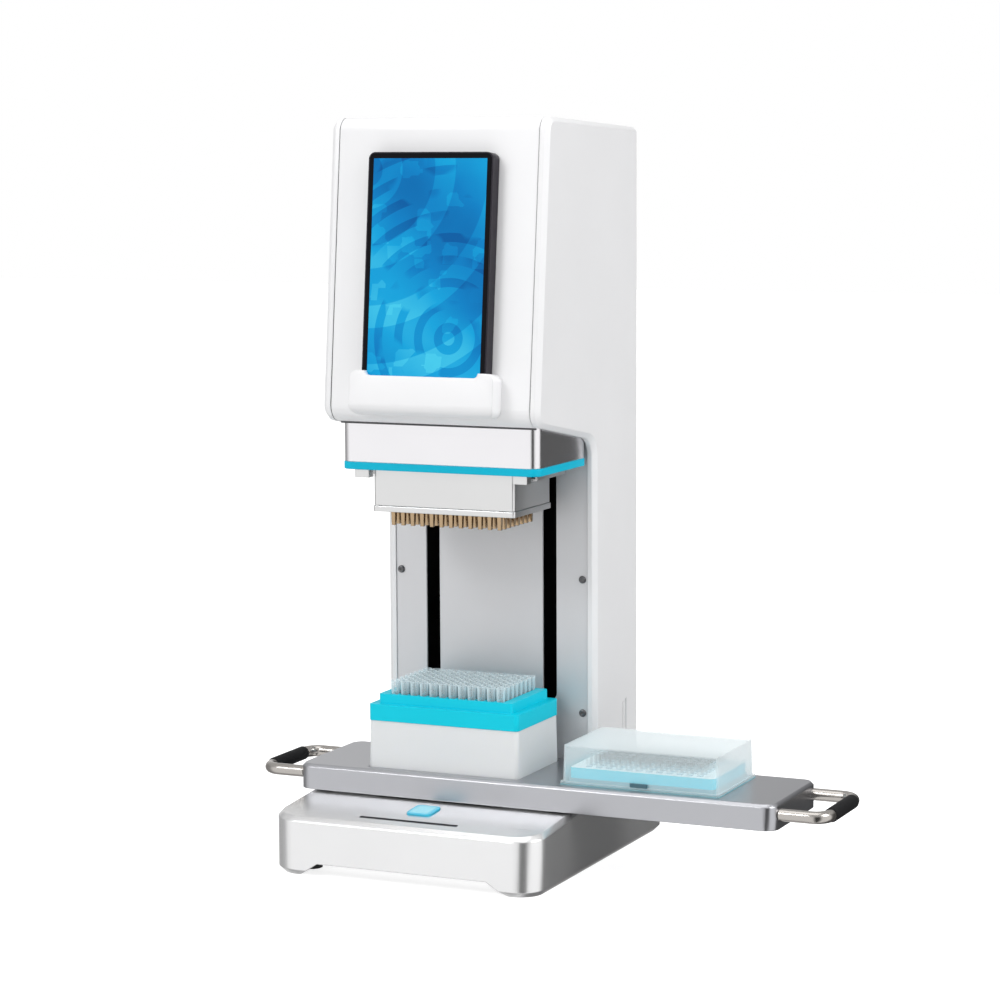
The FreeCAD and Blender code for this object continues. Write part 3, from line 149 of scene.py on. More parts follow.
def finish(name, colour, rough, metal=0.0, worn=None, wear=0.25, uneven=0.05, grain=900,
           depth=0.05, stretch=(1, 1, 1), edge=0.0008, coat=0.0):
    """Material with the shop surface on a principled shader."""
    lighter = [min(1, part * 1.15 + 0.05) for part in colour]
    made = bpy.data.materials.new(name)
    made.use_nodes = True
    made.diffuse_color = (*colour, 1)
    tree = made.node_tree
    shader = tree.nodes["Principled BSDF"]
    surface = place(tree, "ShaderNodeGroup", -350, 0, node_tree=shop_surface)
    surface.inputs["Colour"].default_value = (*colour, 1)
    surface.inputs["Worn Colour"].default_value = (*(worn or lighter), 1)
    surface.inputs["Roughness"].default_value = rough
    surface.inputs["Unevenness"].default_value = uneven
    surface.inputs["Grain Size"].default_value = grain
    surface.inputs["Grain Depth"].default_value = depth
    surface.inputs["Stretch"].default_value = stretch
    surface.inputs["Edge Radius"].default_value = edge
    surface.inputs["Edge Wear"].default_value = wear
    tree.links.new(surface.outputs["Colour"], shader.inputs["Base Color"])
    tree.links.new(surface.outputs["Roughness"], shader.inputs["Roughness"])
    tree.links.new(surface.outputs["Normal"], shader.inputs["Normal"])
    shader.inputs["Metallic"].default_value = metal
    shader.inputs["Coat Weight"].default_value = coat
    shader.inputs["Coat Roughness"].default_value = 0.12
    return made


def dress(material, *names):
    """Gives CAD nodes a material."""
    for name in names:
        mesh = nodes[name].data
        mesh.materials.clear()
        mesh.materials.append(material)


def soften(width, segments, *names):
    """Rounds the sharp edges of CAD nodes, on the shown model only; level faces stay flat."""
    for name in names:
        piece = nodes[name]
        weld = piece.modifiers.new("weld", "WELD")
        weld.merge_threshold = 0.00001
        bevel = piece.modifiers.new("round", "BEVEL")
        bevel.width = width
        bevel.segments = segments
        bevel.limit_method = "ANGLE"
        bevel.angle_limit = math.radians(28)
        bevel.harden_normals = True
        bevel.use_clamp_overlap = True
        for face in piece.data.polygons:
            face.use_smooth = max(abs(part) for part in face.normal) < 0.996


silver_paint = finish("silver_paint", (0.81, 0.81, 0.815), 0.26, metal=0.86, worn=(0.9, 0.9, 0.9),
                      grain=2600, depth=0.10, edge=0.0015)
dress(silver_paint, "base_housing")
soften(0.0016, 3, "base_housing")
foot_rubber = finish("foot_rubber", (0.025, 0.025, 0.027), 0.75, grain=1500, depth=0.3)
dress(foot_rubber, "base_feet")
plate_steel = finish("plate_steel", (0.55, 0.55, 0.56), 0.38, metal=1, stretch=(0.05, 1, 1),
                     depth=0.15)
dress(plate_steel, "base_bottom_plate")

# Start button and status light
# A moulded cyan cap in the nose, with a paler window in its middle, that presses on a switch.
# In front of it a smoked lens, let into a slot of the nose, covers the bar of the status light.

button_cyan = finish("button_cyan", (0.02, 0.50, 0.72), 0.28, wear=0.1, grain=1800, depth=0.03,
                     coat=0.3)
dress(button_cyan, "start_button")
soften(0.0009, 3, "start_button")
smoked_bar = finish("smoked_bar", (0.012, 0.012, 0.014), 0.5, wear=0, depth=0.02)
smoked_bar.node_tree.nodes["Principled BSDF"].inputs["Specular IOR Level"].default_value = 0.1
dress(smoked_bar, "status_light")
switch_black = finish("switch_black", (0.03, 0.03, 0.032), 0.5)
dress(switch_black, "button_switch")

nose_start = Vector((0, -0.045, 0.057))
nose_drop = 0.0065
nose_length = 0.082
nose_turn = (Matrix.Translation(nose_start)
             @ Matrix.Rotation(math.atan2(nose_drop, nose_length), 4, "X")
             @ Matrix.Translation(-nose_start))
button_place = (0, -0.081, nose_start.z + 0.0017)
light_place = (0, -0.1105, nose_start.z + 0.0002)


def rounded_plate(name, half_x, half_y, radius, thickness, centre, edge):
    """Flat plate with rounded corners, its upper edge broken by a small flat."""
    arc = 6
    mesh = bpy.data.meshes.new(name)
    work = bmesh.new()
    rings = []
    for inset_by, level in ((0, -thickness), (0, -edge), (edge, 0)):
        ring = []
        for corner in range(4):
            sx = 1 if corner in (0, 3) else -1
            sy = 1 if corner in (0, 1) else -1
            for step in range(arc + 1):
                turn = math.radians(90 * corner + 90 * step / arc)
                x = sx * (half_x - radius) + (radius - inset_by) * math.cos(turn)
                y = sy * (half_y - radius) + (radius - inset_by) * math.sin(turn)
                ring.append(work.verts.new(Vector(centre) + Vector((x, y, level))))
        rings.append(ring)
    work.faces.new(rings[0][::-1])
    work.faces.new(rings[-1])
    for low, high in zip(rings, rings[1:]):
        for i in range(len(low)):
            after = (i + 1) % len(low)
            work.faces.new((low[i], low[after], high[after], high[i]))
    work.to_mesh(mesh)
    work.free()
    piece = bpy.data.objects.new(name, mesh)
    bpy.context.scene.collection.objects.link(piece)
    return piece


button_window = rounded_plate("button_window", 0.0086, 0.0100, 0.0022, 0.0006, button_place, 0.0002)
button_window.data.transform(nose_turn)
window_cyan = finish("window_cyan", (0.26, 0.72, 0.86), 0.22, wear=0, depth=0.02, coat=0.4)
button_window.data.materials.append(window_cyan)
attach(button_window, "start_button")
smoked_lens = rounded_plate("smoked_lens", 0.0452, 0.0022, 0.0012, 0.0005, light_place, 0.0002)
smoked_lens.data.transform(nose_turn)
smoked_lens.data.materials.append(smoked_bar)
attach(smoked_lens, "stand")

# Column and head covers
# White moulded covers: one hooked cover on each side, a front and a top piece between them on the
# head, and a panel at the back. They clip to the frame inside. Dark grey cords sunk in the seams of
# the head are painted shade for the shadowed grooves there, and a dark strip under its front is a
# painted shadow line where the head meets the hood.

white_cover = finish("white_cover", (0.84, 0.84, 0.85), 0.36, worn=(0.93, 0.93, 0.93), wear=0.15,
                     uneven=0.03, grain=1400, depth=0.06, edge=0.0012, coat=0.15)
dress(white_cover, "side_cover_right", "side_cover_left", "head_front_cover", "head_top_cover")
soften(0.0025, 4, "side_cover_right", "side_cover_left")
soften(0.0009, 3, "head_front_cover", "head_top_cover")
rear_paint = finish("rear_paint", (0.78, 0.78, 0.785), 0.42, grain=1100, depth=0.12)
dress(rear_paint, "column_rear_cover")

# Dark grey of the strips below: painted shade for the shadowed seams and gaps of the head.
painted_gap_shade = finish("painted_gap_shade", (0.10, 0.10, 0.105), 0.7, wear=0, depth=0.02)


def bent_line(corners):
    """Points of a line with rounded corners: each corner is (y, z, radius)."""
    arc = 8
    points = []
    for index, (y, z, radius) in enumerate(corners):
        here = Vector((y, z))
        if radius == 0 or index in (0, len(corners) - 1):
            points.append(here)
            continue
        before = (Vector(corners[index - 1][:2]) - here).normalized()
        after = (Vector(corners[index + 1][:2]) - here).normalized()
        half = before.angle(after) / 2
        centre = here + (before + after).normalized() * radius / math.sin(half)
        start = here + before * radius / math.tan(half) - centre
        end = here + after * radius / math.tan(half) - centre
        for step in range(arc + 1):
            share = step / arc
            spoke = start.lerp(end, share).normalized() * radius
            points.append(centre + spoke)
    return points


def shade_cord_along(name, lines, radius):
    """Round dark strip laid along one or more lines of points: painted shade in a groove or gap, not a real
    rubber cord.
    """
    path = bpy.data.curves.new(name, "CURVE")
    path.dimensions = "3D"
    path.bevel_depth = radius
    path.bevel_resolution = 2
    path.use_fill_caps = True
    for points in lines:
        line = path.splines.new("POLY")
        line.points.add(len(points) - 1)
        for spot, point in zip(line.points, points):
            spot.co = (*point, 1)
    path.materials.append(painted_gap_shade)
    piece = bpy.data.objects.new(name, path)
    bpy.context.scene.collection.objects.link(piece)
    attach(piece, "stand")


seam_place = 0.09215
seam_sunk = 0.00095
head_line = bent_line([(0.150, 0.6252 - seam_sunk, 0),
                       (-0.041 + seam_sunk, 0.634 - seam_sunk, 0.0112),
                       (-0.066 + seam_sunk, 0.381 + seam_sunk, 0.0132),
                       (0.030, 0.3642 + seam_sunk, 0)])
seam_lines = [[(side * seam_place, y, z) for y, z in head_line] for side in (-1, 1)]
# Painted shade: dark cords sunk in the head's seams stand for the shade in the grooves.
shade_cord_along("seam_shade_cords", seam_lines, 0.0009)
# Painted shadow: a dark strip under the head's front stands for the shadow line over the hood.
shadow_strip_half = 0.0905
shadow_strip_line = [(-shadow_strip_half, -0.0482, 0.3772), (shadow_strip_half, -0.0482, 0.3772)]
shade_cord_along("hood_shadow_strip", [shadow_strip_line], 0.0008)

# Front panel of the column
# A sheet of pale grey painted aluminium with two long slots for the carriage's arms, held by four
# dark button-head screws with hexagon sockets.

panel_paint = finish("panel_paint", (0.65, 0.65, 0.665), 0.46, metal=0.4, grain=1500, depth=0.10)
dress(panel_paint, "column_front_panel")


def turned(name, profile, places, sides, axis="Z", socket_from=None):
    """One lathe-turned form at each place: profile points are (radius, height).

    From the ring socket_from inward it is a hexagon, as in a socket for a key."""
    mesh = bpy.data.meshes.new(name)
    work = bmesh.new()
    for spot in places:
        rings = []
        for index, (size, height) in enumerate(profile):
            ring = []
            for step in range(sides):
                turn = 2 * math.pi * step / sides
                radius = size
                if socket_from is not None and index >= socket_from:
                    radius = size / math.cos((turn + math.pi / 6) % (math.pi / 3) - math.pi / 6)
                point = Vector((radius * math.cos(turn), radius * math.sin(turn), height))
                if axis == "-Y":
                    point = Vector((point.x, -point.z, point.y))
                if axis == "Y":
                    point = Vector((point.x, point.z, -point.y))
                ring.append(work.verts.new(point + Vector(spot)))
            rings.append(ring)
        for low, high in zip(rings, rings[1:]):
            for i in range(sides):
                after = (i + 1) % sides
                work.faces.new((low[i], low[after], high[after], high[i]))
        work.faces.new(rings[0][::-1])
        work.faces.new(rings[-1])
    for face in work.faces:
        face.smooth = len(face.verts) == 4
    work.to_mesh(mesh)
    work.free()
    piece = bpy.data.objects.new(name, mesh)
    bpy.context.scene.collection.objects.link(piece)
    return piece


screw_dark = finish("screw_dark", (0.16, 0.16, 0.165), 0.35, metal=1, grain=2500, depth=0.1)
panel_front = 0.058
screw_places = [(x, panel_front, z) for x in (-0.087, 0.087) for z in (0.120, 0.237)]
screw_profile = [(0.0033, 0), (0.0033, 0.0007), (0.0029, 0.0014), (0.0021, 0.0018),
                 (0.00125, 0.0018), (0.0012, 0.0006)]
screw_heads = turned("screw_heads", screw_profile, screw_places, 24, "-Y", socket_from=4)
screw_heads.data.materials.append(screw_dark)
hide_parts("panel_screws")
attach(screw_heads, "stand")

# Tablet and cradle
# A tablet in a black case lies on the leaning front of the head, its foot in a white moulded
# cradle with raised corners.

case_black = finish("case_black", (0.012, 0.009, 0.016), 0.30, wear=0.05, worn=(0.05, 0.05, 0.06),
                    grain=1600)
case_black.node_tree.nodes["Principled BSDF"].inputs["Specular IOR Level"].default_value = 0.25
dress(case_black, "screen_housing")
soften(0.0012, 3, "screen_housing")
dress(white_cover, "screen_cradle")
soften(0.0014, 3, "screen_cradle")


def make_screen_picture():
    """Black-edged glass over a blue picture of broken arcs, a soft beam and small tiles."""
    made = bpy.data.materials.new("screen_picture")
    made.use_nodes = True
    tree = made.node_tree
    link = tree.links.new
    shader = tree.nodes["Principled BSDF"]
    where = place(tree, "ShaderNodeTexCoord", -2200, 0)

    def stepped(source, low, high, x, y):
        edge = place(tree, "ShaderNodeMapRange", x, y)
        edge.inputs["From Min"].default_value = low
        edge.inputs["From Max"].default_value = high
        link(source, edge.inputs["Value"])
        return edge.outputs[0]

    def arcs(offset, scale, x, y):
        moved = place(tree, "ShaderNodeVectorMath", x, y, operation="ADD")
        moved.inputs[1].default_value = offset
        link(where.outputs["Object"], moved.inputs[0])
        rings = place(tree, "ShaderNodeTexWave", x + 200, y, wave_type="RINGS", rings_direction="Y")
        rings.inputs["Scale"].default_value = scale
        rings.inputs["Distortion"].default_value = 0.25
        rings.inputs["Detail"].default_value = 0
        link(moved.outputs[0], rings.inputs["Vector"])
        return rings.outputs["Fac"]

    def add(first, second, weight, x, y):
        summed = place(tree, "ShaderNodeMath", x, y, operation="MULTIPLY_ADD")
        summed.inputs[1].default_value = weight
        link(second, summed.inputs[0])
        if isinstance(first, float):
            summed.inputs[2].default_value = first
        else:
            link(first, summed.inputs[2])
        return summed.outputs[0]

    drift = place(tree, "ShaderNodeTexNoise", -1900, -400)
    drift.inputs["Scale"].default_value = 17
    drift.inputs["Detail"].default_value = 2
    link(where.outputs["Object"], drift.inputs["Vector"])
    holes = stepped(drift.outputs["Fac"], 0.48, 0.52, -1600, -400)
    large = stepped(arcs((0.058, 0, -0.590), 6.5, -1900, 300), 0.66, 0.70, -1400, 300)
    small = stepped(arcs((-0.022, 0, -0.452), 17, -1900, 0), 0.62, 0.67, -1400, 0)
    broken = place(tree, "ShaderNodeMath", -1200, 100, operation="MULTIPLY")
    link(small, broken.inputs[0])
    link(holes, broken.inputs[1])
    tiles = place(tree, "ShaderNodeTexVoronoi", -1600, -700, distance="CHEBYCHEV")
    tiles.inputs["Scale"].default_value = 75
    tiles.inputs["Randomness"].default_value = 0.8
    link(where.outputs["Object"], tiles.inputs["Vector"])
    tile_tone = place(tree, "ShaderNodeSeparateColor", -1400, -700)
    link(tiles.outputs["Color"], tile_tone.inputs[0])
    light_tiles = stepped(tile_tone.outputs[0], 0.86, 0.88, -1200, -700)
    beam = place(tree, "ShaderNodeTexWave", -1600, 600, wave_type="BANDS",
                 bands_direction="DIAGONAL")
    beam.inputs["Scale"].default_value = 2.6
    beam.inputs["Distortion"].default_value = 0.6
    beam.inputs["Detail"].default_value = 0
    link(where.outputs["Object"], beam.inputs["Vector"])
    total = add(0.10, beam.outputs["Fac"], 0.42, -1000, 500)
    total = add(total, large, 0.16, -850, 400)
    total = add(total, broken.outputs[0], -0.20, -700, 300)
    total = add(total, light_tiles, 0.12, -550, 200)
    total = add(total, drift.outputs["Fac"], 0.35, -400, 100)
    blues = place(tree, "ShaderNodeValToRGB", -250, 100)
    ramp = blues.color_ramp
    ramp.elements[0].position = 0.12
    ramp.elements[0].color = (0.001, 0.11, 0.36, 1)
    ramp.elements[1].position = 0.95
    ramp.elements[1].color = (0.06, 0.58, 0.82, 1)
    for spot, colour in ((0.40, (0.002, 0.21, 0.54, 1)), (0.68, (0.006, 0.36, 0.70, 1))):
        ramp.elements.new(spot).color = colour
    link(total, blues.inputs["Fac"])
    sides = place(tree, "ShaderNodeSeparateXYZ", -1000, -300)
    link(where.outputs["Generated"], sides.inputs[0])
    inside = None
    for axis, low, high in (("X", 0.030, 0.965), ("Z", 0.0, 0.980)):
        for bound, operation in ((low, "GREATER_THAN"), (high, "LESS_THAN")):
            test = place(tree, "ShaderNodeMath", -800, -300, operation=operation)
            link(sides.outputs[axis], test.inputs[0])
            test.inputs[1].default_value = bound
            if inside is None:
                inside = test.outputs[0]
            else:
                both = place(tree, "ShaderNodeMath", -600, -300, operation="MULTIPLY")
                link(inside, both.inputs[0])
                link(test.outputs[0], both.inputs[1])
                inside = both.outputs[0]
    shown = place(tree, "ShaderNodeMix", 0, 0, data_type="RGBA")
    shown.inputs[6].default_value = (0.004, 0.004, 0.006, 1)
    link(inside, shown.inputs["Factor"])
    link(blues.outputs["Color"], shown.inputs[7])
    dim = place(tree, "ShaderNodeVectorMath", 150, 150, operation="SCALE")
    dim.inputs["Scale"].default_value = 0.35
    link(shown.outputs[2], dim.inputs[0])
    link(dim.outputs[0], shader.inputs["Base Color"])
    link(shown.outputs[2], shader.inputs["Emission Color"])
    shader.inputs["Emission Strength"].default_value = 0.66
    shader.inputs["Specular IOR Level"].default_value = 0.08
    shader.inputs["Roughness"].default_value = 0.08
    return made


screen_picture = make_screen_picture()
dress(screen_picture, "screen_glass")

# Frame and lift inside the column
# A milled aluminium spine between two steel side plates carries two ground rails, a ball screw
# with its motor, and the carriage whose arms reach out through the panel's slots.

milled_aluminium = finish("milled_aluminium", (0.62, 0.63, 0.64), 0.34, metal=1, stretch=(1, 1, 0.08),
                          grain=700, depth=0.15)
dress(milled_aluminium, "carriage_arms", "head_base_plate", "plunger_plate", "drive_frame")
black_anodised = finish("black_anodised", (0.02, 0.02, 0.022), 0.45, metal=0.2, grain=900, depth=0.1)
dress(black_anodised, "column_spine", "lift_brackets", "lift_carriage", "side_frames")
dress(plate_steel, "lift_runners", "stripper_rods", "deck_runners", "pistons", "power_supply")
ground_steel = finish("ground_steel", (0.66, 0.66, 0.67), 0.16, metal=1, grain=1200, depth=0.05)
dress(ground_steel, "lift_rails", "lift_screw", "plunger_screw", "deck_rails")
motor_black = finish("motor_black", (0.04, 0.04, 0.043), 0.45, metal=0.3)
dress(motor_black, "lift_motor", "plunger_motor")
nut_bronze = finish("nut_bronze", (0.55, 0.36, 0.14), 0.35, metal=1)
dress(nut_bronze, "lift_nut")

# Hood and its trim
# The hood that moves with the head is folded and brushed aluminium under satin lacquer, and a
# cyan moulded band closes its lower edge.

hood_metal = finish("hood_metal", (0.83, 0.82, 0.84), 0.24, metal=1.0, stretch=(0.06, 0.06, 1),
                    grain=1500, edge=0.0015, uneven=0.04)
dress(hood_metal, "head_hood")
soften(0.0012, 3, "head_hood")
trim_cyan = finish("trim_cyan", (0.0, 0.47, 0.66), 0.42, wear=0.1, worn=(0.05, 0.55, 0.72))
trim_cyan.node_tree.nodes["Principled BSDF"].inputs["Specular IOR Level"].default_value = 0.2
dress(trim_cyan, "hood_trim")
soften(0.0006, 2, "hood_trim")

# Channel block, stripper and nozzles
# A milled block with one brass nozzle for each channel; the plate below it pushes the tips off.

block_metal = finish("block_metal", (0.70, 0.70, 0.70), 0.28, metal=1.0, stretch=(0.05, 0.05, 1),
                     grain=1300, depth=0.07, edge=0.001)
dress(block_metal, "channel_block", "stripper_plate", "block_clips")
soften(0.0005, 2, "channel_block", "stripper_plate")
nozzle_brass = finish("nozzle_brass", (0.47, 0.34, 0.21), 0.20, metal=1, grain=1500, depth=0.05, uneven=0.1)
dress(nozzle_brass, "nozzles")

# Sliding deck
# A thick anodised aluminium plate with two shallow nests, moved by hand on two rails by a bent
# stainless tube with a black foam sleeve at each end.

deck_anodised = finish("deck_anodised", (0.47, 0.475, 0.50), 0.30, metal=1, stretch=(0.04, 1, 1), grain=1500,
                       depth=0.10, edge=0.0012, uneven=0.06)
dress(deck_anodised, "deck_plate")
soften(0.0007, 2, "deck_plate")
tube_steel = finish("tube_steel", (0.48, 0.455, 0.43), 0.22, metal=1, depth=0.06, stretch=(0.2, 1, 1))
sleeve_foam = finish("sleeve_foam", (0.007, 0.007, 0.008), 0.7, wear=0, grain=1400, depth=0.2)
sleeve_foam.node_tree.nodes["Principled BSDF"].inputs["Specular IOR Level"].default_value = 0.25

deck_left = -0.133
deck_right = 0.302
handle_radius = 0.0052
handle_level = 0.070
handle_reach = 0.039
handle_half = 0.042
handle_bend = 0.013
quarter_circle = 0.5523  # length of a curve's handle for a quarter circle of radius 1
sleeve_half = 0.028
sleeve_radius = 0.00605
sleeve_step = 0.00035


def bent_handle(name, end, side):
    """Smooth tube from the deck's end round two bends and back."""
    path = bpy.data.curves.new(name, "CURVE")
    path.dimensions = "3D"
    path.bevel_depth = handle_radius
    path.bevel_resolution = 8
    path.resolution_u = 12
    path.use_fill_caps = True
    reach = end + side * handle_reach
    half = handle_half
    bend = handle_bend
    pull = bend * quarter_circle
    at_deck = 0.004
    line = path.splines.new("BEZIER")
    line.bezier_points.add(5)
    stops = [((end, -half), (side, 0), at_deck),
             ((reach - side * bend, -half), (side, 0), pull),
             ((reach, -half + bend), (0, 1), pull),
             ((reach, half - bend), (0, 1), pull),
             ((reach - side * bend, half), (-side, 0), pull),
             ((end, half), (-side, 0), at_deck)]
    for point, (spot, way, length) in zip(line.bezier_points, stops):
        point.co = (spot[0], spot[1], handle_level)
        point.handle_left_type = "FREE"
        point.handle_right_type = "FREE"
        point.handle_left = (spot[0] - way[0] * length, spot[1] - way[1] * length, handle_level)
        point.handle_right = (spot[0] + way[0] * length, spot[1] + way[1] * length, handle_level)
    straight = end + side * 0.016
    line.bezier_points[1].handle_left = (straight, -half, handle_level)
    line.bezier_points[4].handle_right = (straight, half, handle_level)
    piece = bpy.data.objects.new(name, path)
    bpy.context.scene.collection.objects.link(piece)
    path.materials.append(tube_steel)
    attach(piece, "deck")
    return piece


left_handle = bent_handle("left_handle_tube", deck_left, -1)
bent_handle("right_handle_tube", deck_right, 1)
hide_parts("deck_handles")
sleeve_places = [(deck_left - handle_reach, 0, handle_level), (deck_right + handle_reach, 0, handle_level)]
sleeve_edge = sleeve_half - 0.0008
sleeve_profile = [(handle_radius, -sleeve_half), (sleeve_radius - sleeve_step, -sleeve_half),
                  (sleeve_radius, -sleeve_edge), (sleeve_radius, sleeve_edge),
                  (sleeve_radius - sleeve_step, sleeve_half), (handle_radius, sleeve_half)]
sleeves = turned("handle_sleeves", sleeve_profile, sleeve_places, 32, "Y")
sleeves.data.materials.append(sleeve_foam)
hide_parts("handle_grips")
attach(sleeves, "deck")

# Tip box
# A frosted white base, a cyan collar with a raised tier on it, and 96 tips standing in the tier
# with their mouths up. All are injection-moulded polypropylene and lift apart by hand.


def clear_plastic(name, colour, rough, square, grazing):
    """Thin translucent moulding, more open where it is looked at squarely than along its walls."""
    made = finish(name, colour, rough, worn=(1, 1, 1), wear=0.7, uneven=0.04, grain=1200,
                  depth=0.08)
    tree = made.node_tree
    glance = place(tree, "ShaderNodeLayerWeight", -600, 500)
    glance.inputs["Blend"].default_value = 0.5
    cover = place(tree, "ShaderNodeMapRange", -400, 500)
    cover.inputs["From Min"].default_value = 0.1
    cover.inputs["From Max"].default_value = 0.85
    cover.inputs["To Min"].default_value = square
    cover.inputs["To Max"].default_value = grazing
    tree.links.new(glance.outputs["Facing"], cover.inputs["Value"])
    tree.links.new(cover.outputs[0], tree.nodes["Principled BSDF"].inputs["Alpha"])
    return made


frosted_white = finish("frosted_white", (0.76, 0.78, 0.79), 0.38, grain=1000, depth=0.10, uneven=0.04,
                       coat=0.1)
frosted_shader = frosted_white.node_tree.nodes["Principled BSDF"]
frosted_shader.inputs["Subsurface Weight"].default_value = 0.25
frosted_shader.inputs["Subsurface Radius"].default_value = (0.004, 0.004, 0.005)
dress(frosted_white, "tip_box_base")
soften(0.0008, 3, "tip_box_base")
collar_cyan = finish("collar_cyan", (0.0, 0.61, 0.77), 0.42, grain=1300, depth=0.06, wear=0.1,
                     worn=(0.2, 0.75, 0.86))
collar_cyan.node_tree.nodes["Principled BSDF"].inputs["Specular IOR Level"].default_value = 0.2
dress(collar_cyan, "tip_box_collar", "tip_box_bars")
soften(0.0007, 3, "tip_box_collar")

tip_pitch = 0.009
tip_columns = 12
tip_rows = 8
tip_places = [((column - (tip_columns - 1) / 2) * tip_pitch, (row - (tip_rows - 1) / 2) * tip_pitch, 0)
              for column in range(tip_columns) for row in range(tip_rows)]
tip_clear = clear_plastic("tip_clear", (0.80, 0.92, 0.96), 0.20, 0.20, 0.80)
tip_outside = [(0.0008, 0.0985), (0.0010, 0.0987), (0.0034, 0.1430), (0.0037, 0.1440), (0.0038, 0.1530)]
tip_rim = [(0.0041, 0.1534), (0.0041, 0.1543), (0.0039, 0.1545), (0.0034, 0.1545)]
tip_bore = [(0.0033, 0.1535), (0.0028, 0.1400), (0.0008, 0.1100)]
tips_shown = turned("tips_shown", tip_outside + tip_rim + tip_bore, tip_places, 16)
tips_shown.data.materials.append(tip_clear)
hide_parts("tips")
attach(tips_shown, "loose_tips")

# Lidded rack
# Short clear tips stand in a low moulded rack with a cyan band, whose top between the tips is pale.
# The band glows a little, cyan on its sides and pale on its top: painted light for the light that
# comes through the lid.
# A milky clear lid stands on the rack's foot and is held by a small latch at the front.

band_cyan_painted_glow = finish("band_cyan_painted_glow", (0.0, 0.50, 0.68), 0.4, wear=0, depth=0.04)
band_tree = band_cyan_painted_glow.node_tree
band_shader = band_tree.nodes["Principled BSDF"]
# Painted glow: the band emits light, standing in for light that comes through the milky lid.
band_shader.inputs["Emission Strength"].default_value = 0.5
band_way = place(band_tree, "ShaderNodeTexCoord", -1100, 500)
band_way_parts = place(band_tree, "ShaderNodeSeparateXYZ", -900, 500)
band_tree.links.new(band_way.outputs["Normal"], band_way_parts.inputs[0])
on_top = place(band_tree, "ShaderNodeMath", -700, 500, operation="GREATER_THAN")
on_top.inputs[1].default_value = 0.5
band_tree.links.new(band_way_parts.outputs["Z"], on_top.inputs[0])
# Base colour: cyan sides and pale top, the rack's own colours. Emission colour: painted glow, cyan on the
# sides and pale on the top that the lid shades.
for target, cyan, pale in (("Base Color", (0.0, 0.44, 0.60, 1), (0.78, 0.92, 0.94, 1)),
                           ("Emission Color", (0.0, 0.56, 0.66, 1), (0.26, 0.36, 0.40, 1))):
    tinted = place(band_tree, "ShaderNodeMix", -450, 500, data_type="RGBA")
    tinted.inputs[6].default_value = cyan
    tinted.inputs[7].default_value = pale
    band_tree.links.new(on_top.outputs[0], tinted.inputs["Factor"])
    band_tree.links.new(tinted.outputs[2], band_shader.inputs[target])
dress(band_cyan_painted_glow, "rack_band")
rack_clear = clear_plastic("rack_clear", (0.40, 0.80, 0.88), 0.35, 0.60, 0.75)
dress(rack_clear, "rack_frame")
short_clear = clear_plastic("short_clear", (0.86, 0.96, 0.98), 0.3, 0.06, 0.30)
dress(short_clear, "rack_tips")
lid_clear = clear_plastic("lid_clear", (0.87, 0.94, 0.96), 0.22, 0.25, 0.60)
dress(lid_clear, "rack_lid")
soften(0.0006, 2, "rack_lid")
latch_smoke = finish("latch_smoke", (0.05, 0.13, 0.17), 0.4)
dress(latch_smoke, "lid_latch")

# Back of the column and boards
# Mains inlet, rocker switch, two data ports and the fan are black mouldings that snap into the back
# panel; the green control board and the steel power supply are screwed down in the base.

dress(switch_black, "power_inlet", "power_rocker", "rear_fittings", "fan_rotor")
board_green = finish("board_green", (0.015, 0.14, 0.06), 0.4)
dress(board_green, "control_board")

# Bench and light
# A white bench top and paper background, lit by soft panels, with the camera where the photograph
# was taken. Light and dark cards all round put the streaks on the silver parts.


def azimuth_ramp(tree, direction, stops, x, y):
    """Grey ramp over the compass angle of a direction: 0 is the front, 90 degrees the right."""
    split = place(tree, "ShaderNodeSeparateXYZ", x, y)
    tree.links.new(direction, split.inputs[0])
    forward = place(tree, "ShaderNodeMath", x + 180, y - 120, operation="MULTIPLY")
    forward.inputs[1].default_value = -1
    tree.links.new(split.outputs["Y"], forward.inputs[0])
    angle = place(tree, "ShaderNodeMath", x + 360, y, operation="ARCTAN2")
    tree.links.new(split.outputs["X"], angle.inputs[0])
    tree.links.new(forward.outputs[0], angle.inputs[1])
    share = place(tree, "ShaderNodeMapRange", x + 540, y)
    share.inputs["From Min"].default_value = -math.pi
    share.inputs["From Max"].default_value = math.pi
    tree.links.new(angle.outputs[0], share.inputs["Value"])
    ramp = place(tree, "ShaderNodeValToRGB", x + 720, y)
    colours = ramp.color_ramp
    colours.elements[0].position = 0
    colours.elements[1].position = 1
    for index, (degrees, grey) in enumerate(stops):
        spot = (degrees + 180) / 360
        if index == 0:
            one = colours.elements[0]
        elif index == len(stops) - 1:
            one = colours.elements[-1]
        else:
            one = colours.elements.new(spot)
        one.color = (grey, grey, grey, 1)
    tree.links.new(share.outputs[0], ramp.inputs["Fac"])
    return ramp, split


bench = bpy.data.meshes.new("bench")
bench.from_pydata([(-9, -9, 0), (9, -9, 0), (9, 9, 0), (-9, 9, 0)], [], [(0, 1, 2, 3)])
floor = bpy.data.objects.new("bench", bench)
bpy.context.scene.collection.objects.link(floor)
bench_white = bpy.data.materials.new("bench_white")
bench_white.use_nodes = True
paper = bench_white.node_tree
paper_shader = paper.nodes["Principled BSDF"]
paper_shader.inputs["Roughness"].default_value = 0.9
paper_shader.inputs["Specular IOR Level"].default_value = 0.1
spot_on_bench = place(paper, "ShaderNodeTexCoord", -900, 0)
fibres = place(paper, "ShaderNodeTexNoise", -700, 0)
fibres.inputs["Scale"].default_value = 60
paper.links.new(spot_on_bench.outputs["Object"], fibres.inputs["Vector"])
flecks = place(paper, "ShaderNodeMapRange", -450, 0)
flecks.inputs["To Min"].default_value = 0.70
flecks.inputs["To Max"].default_value = 0.74
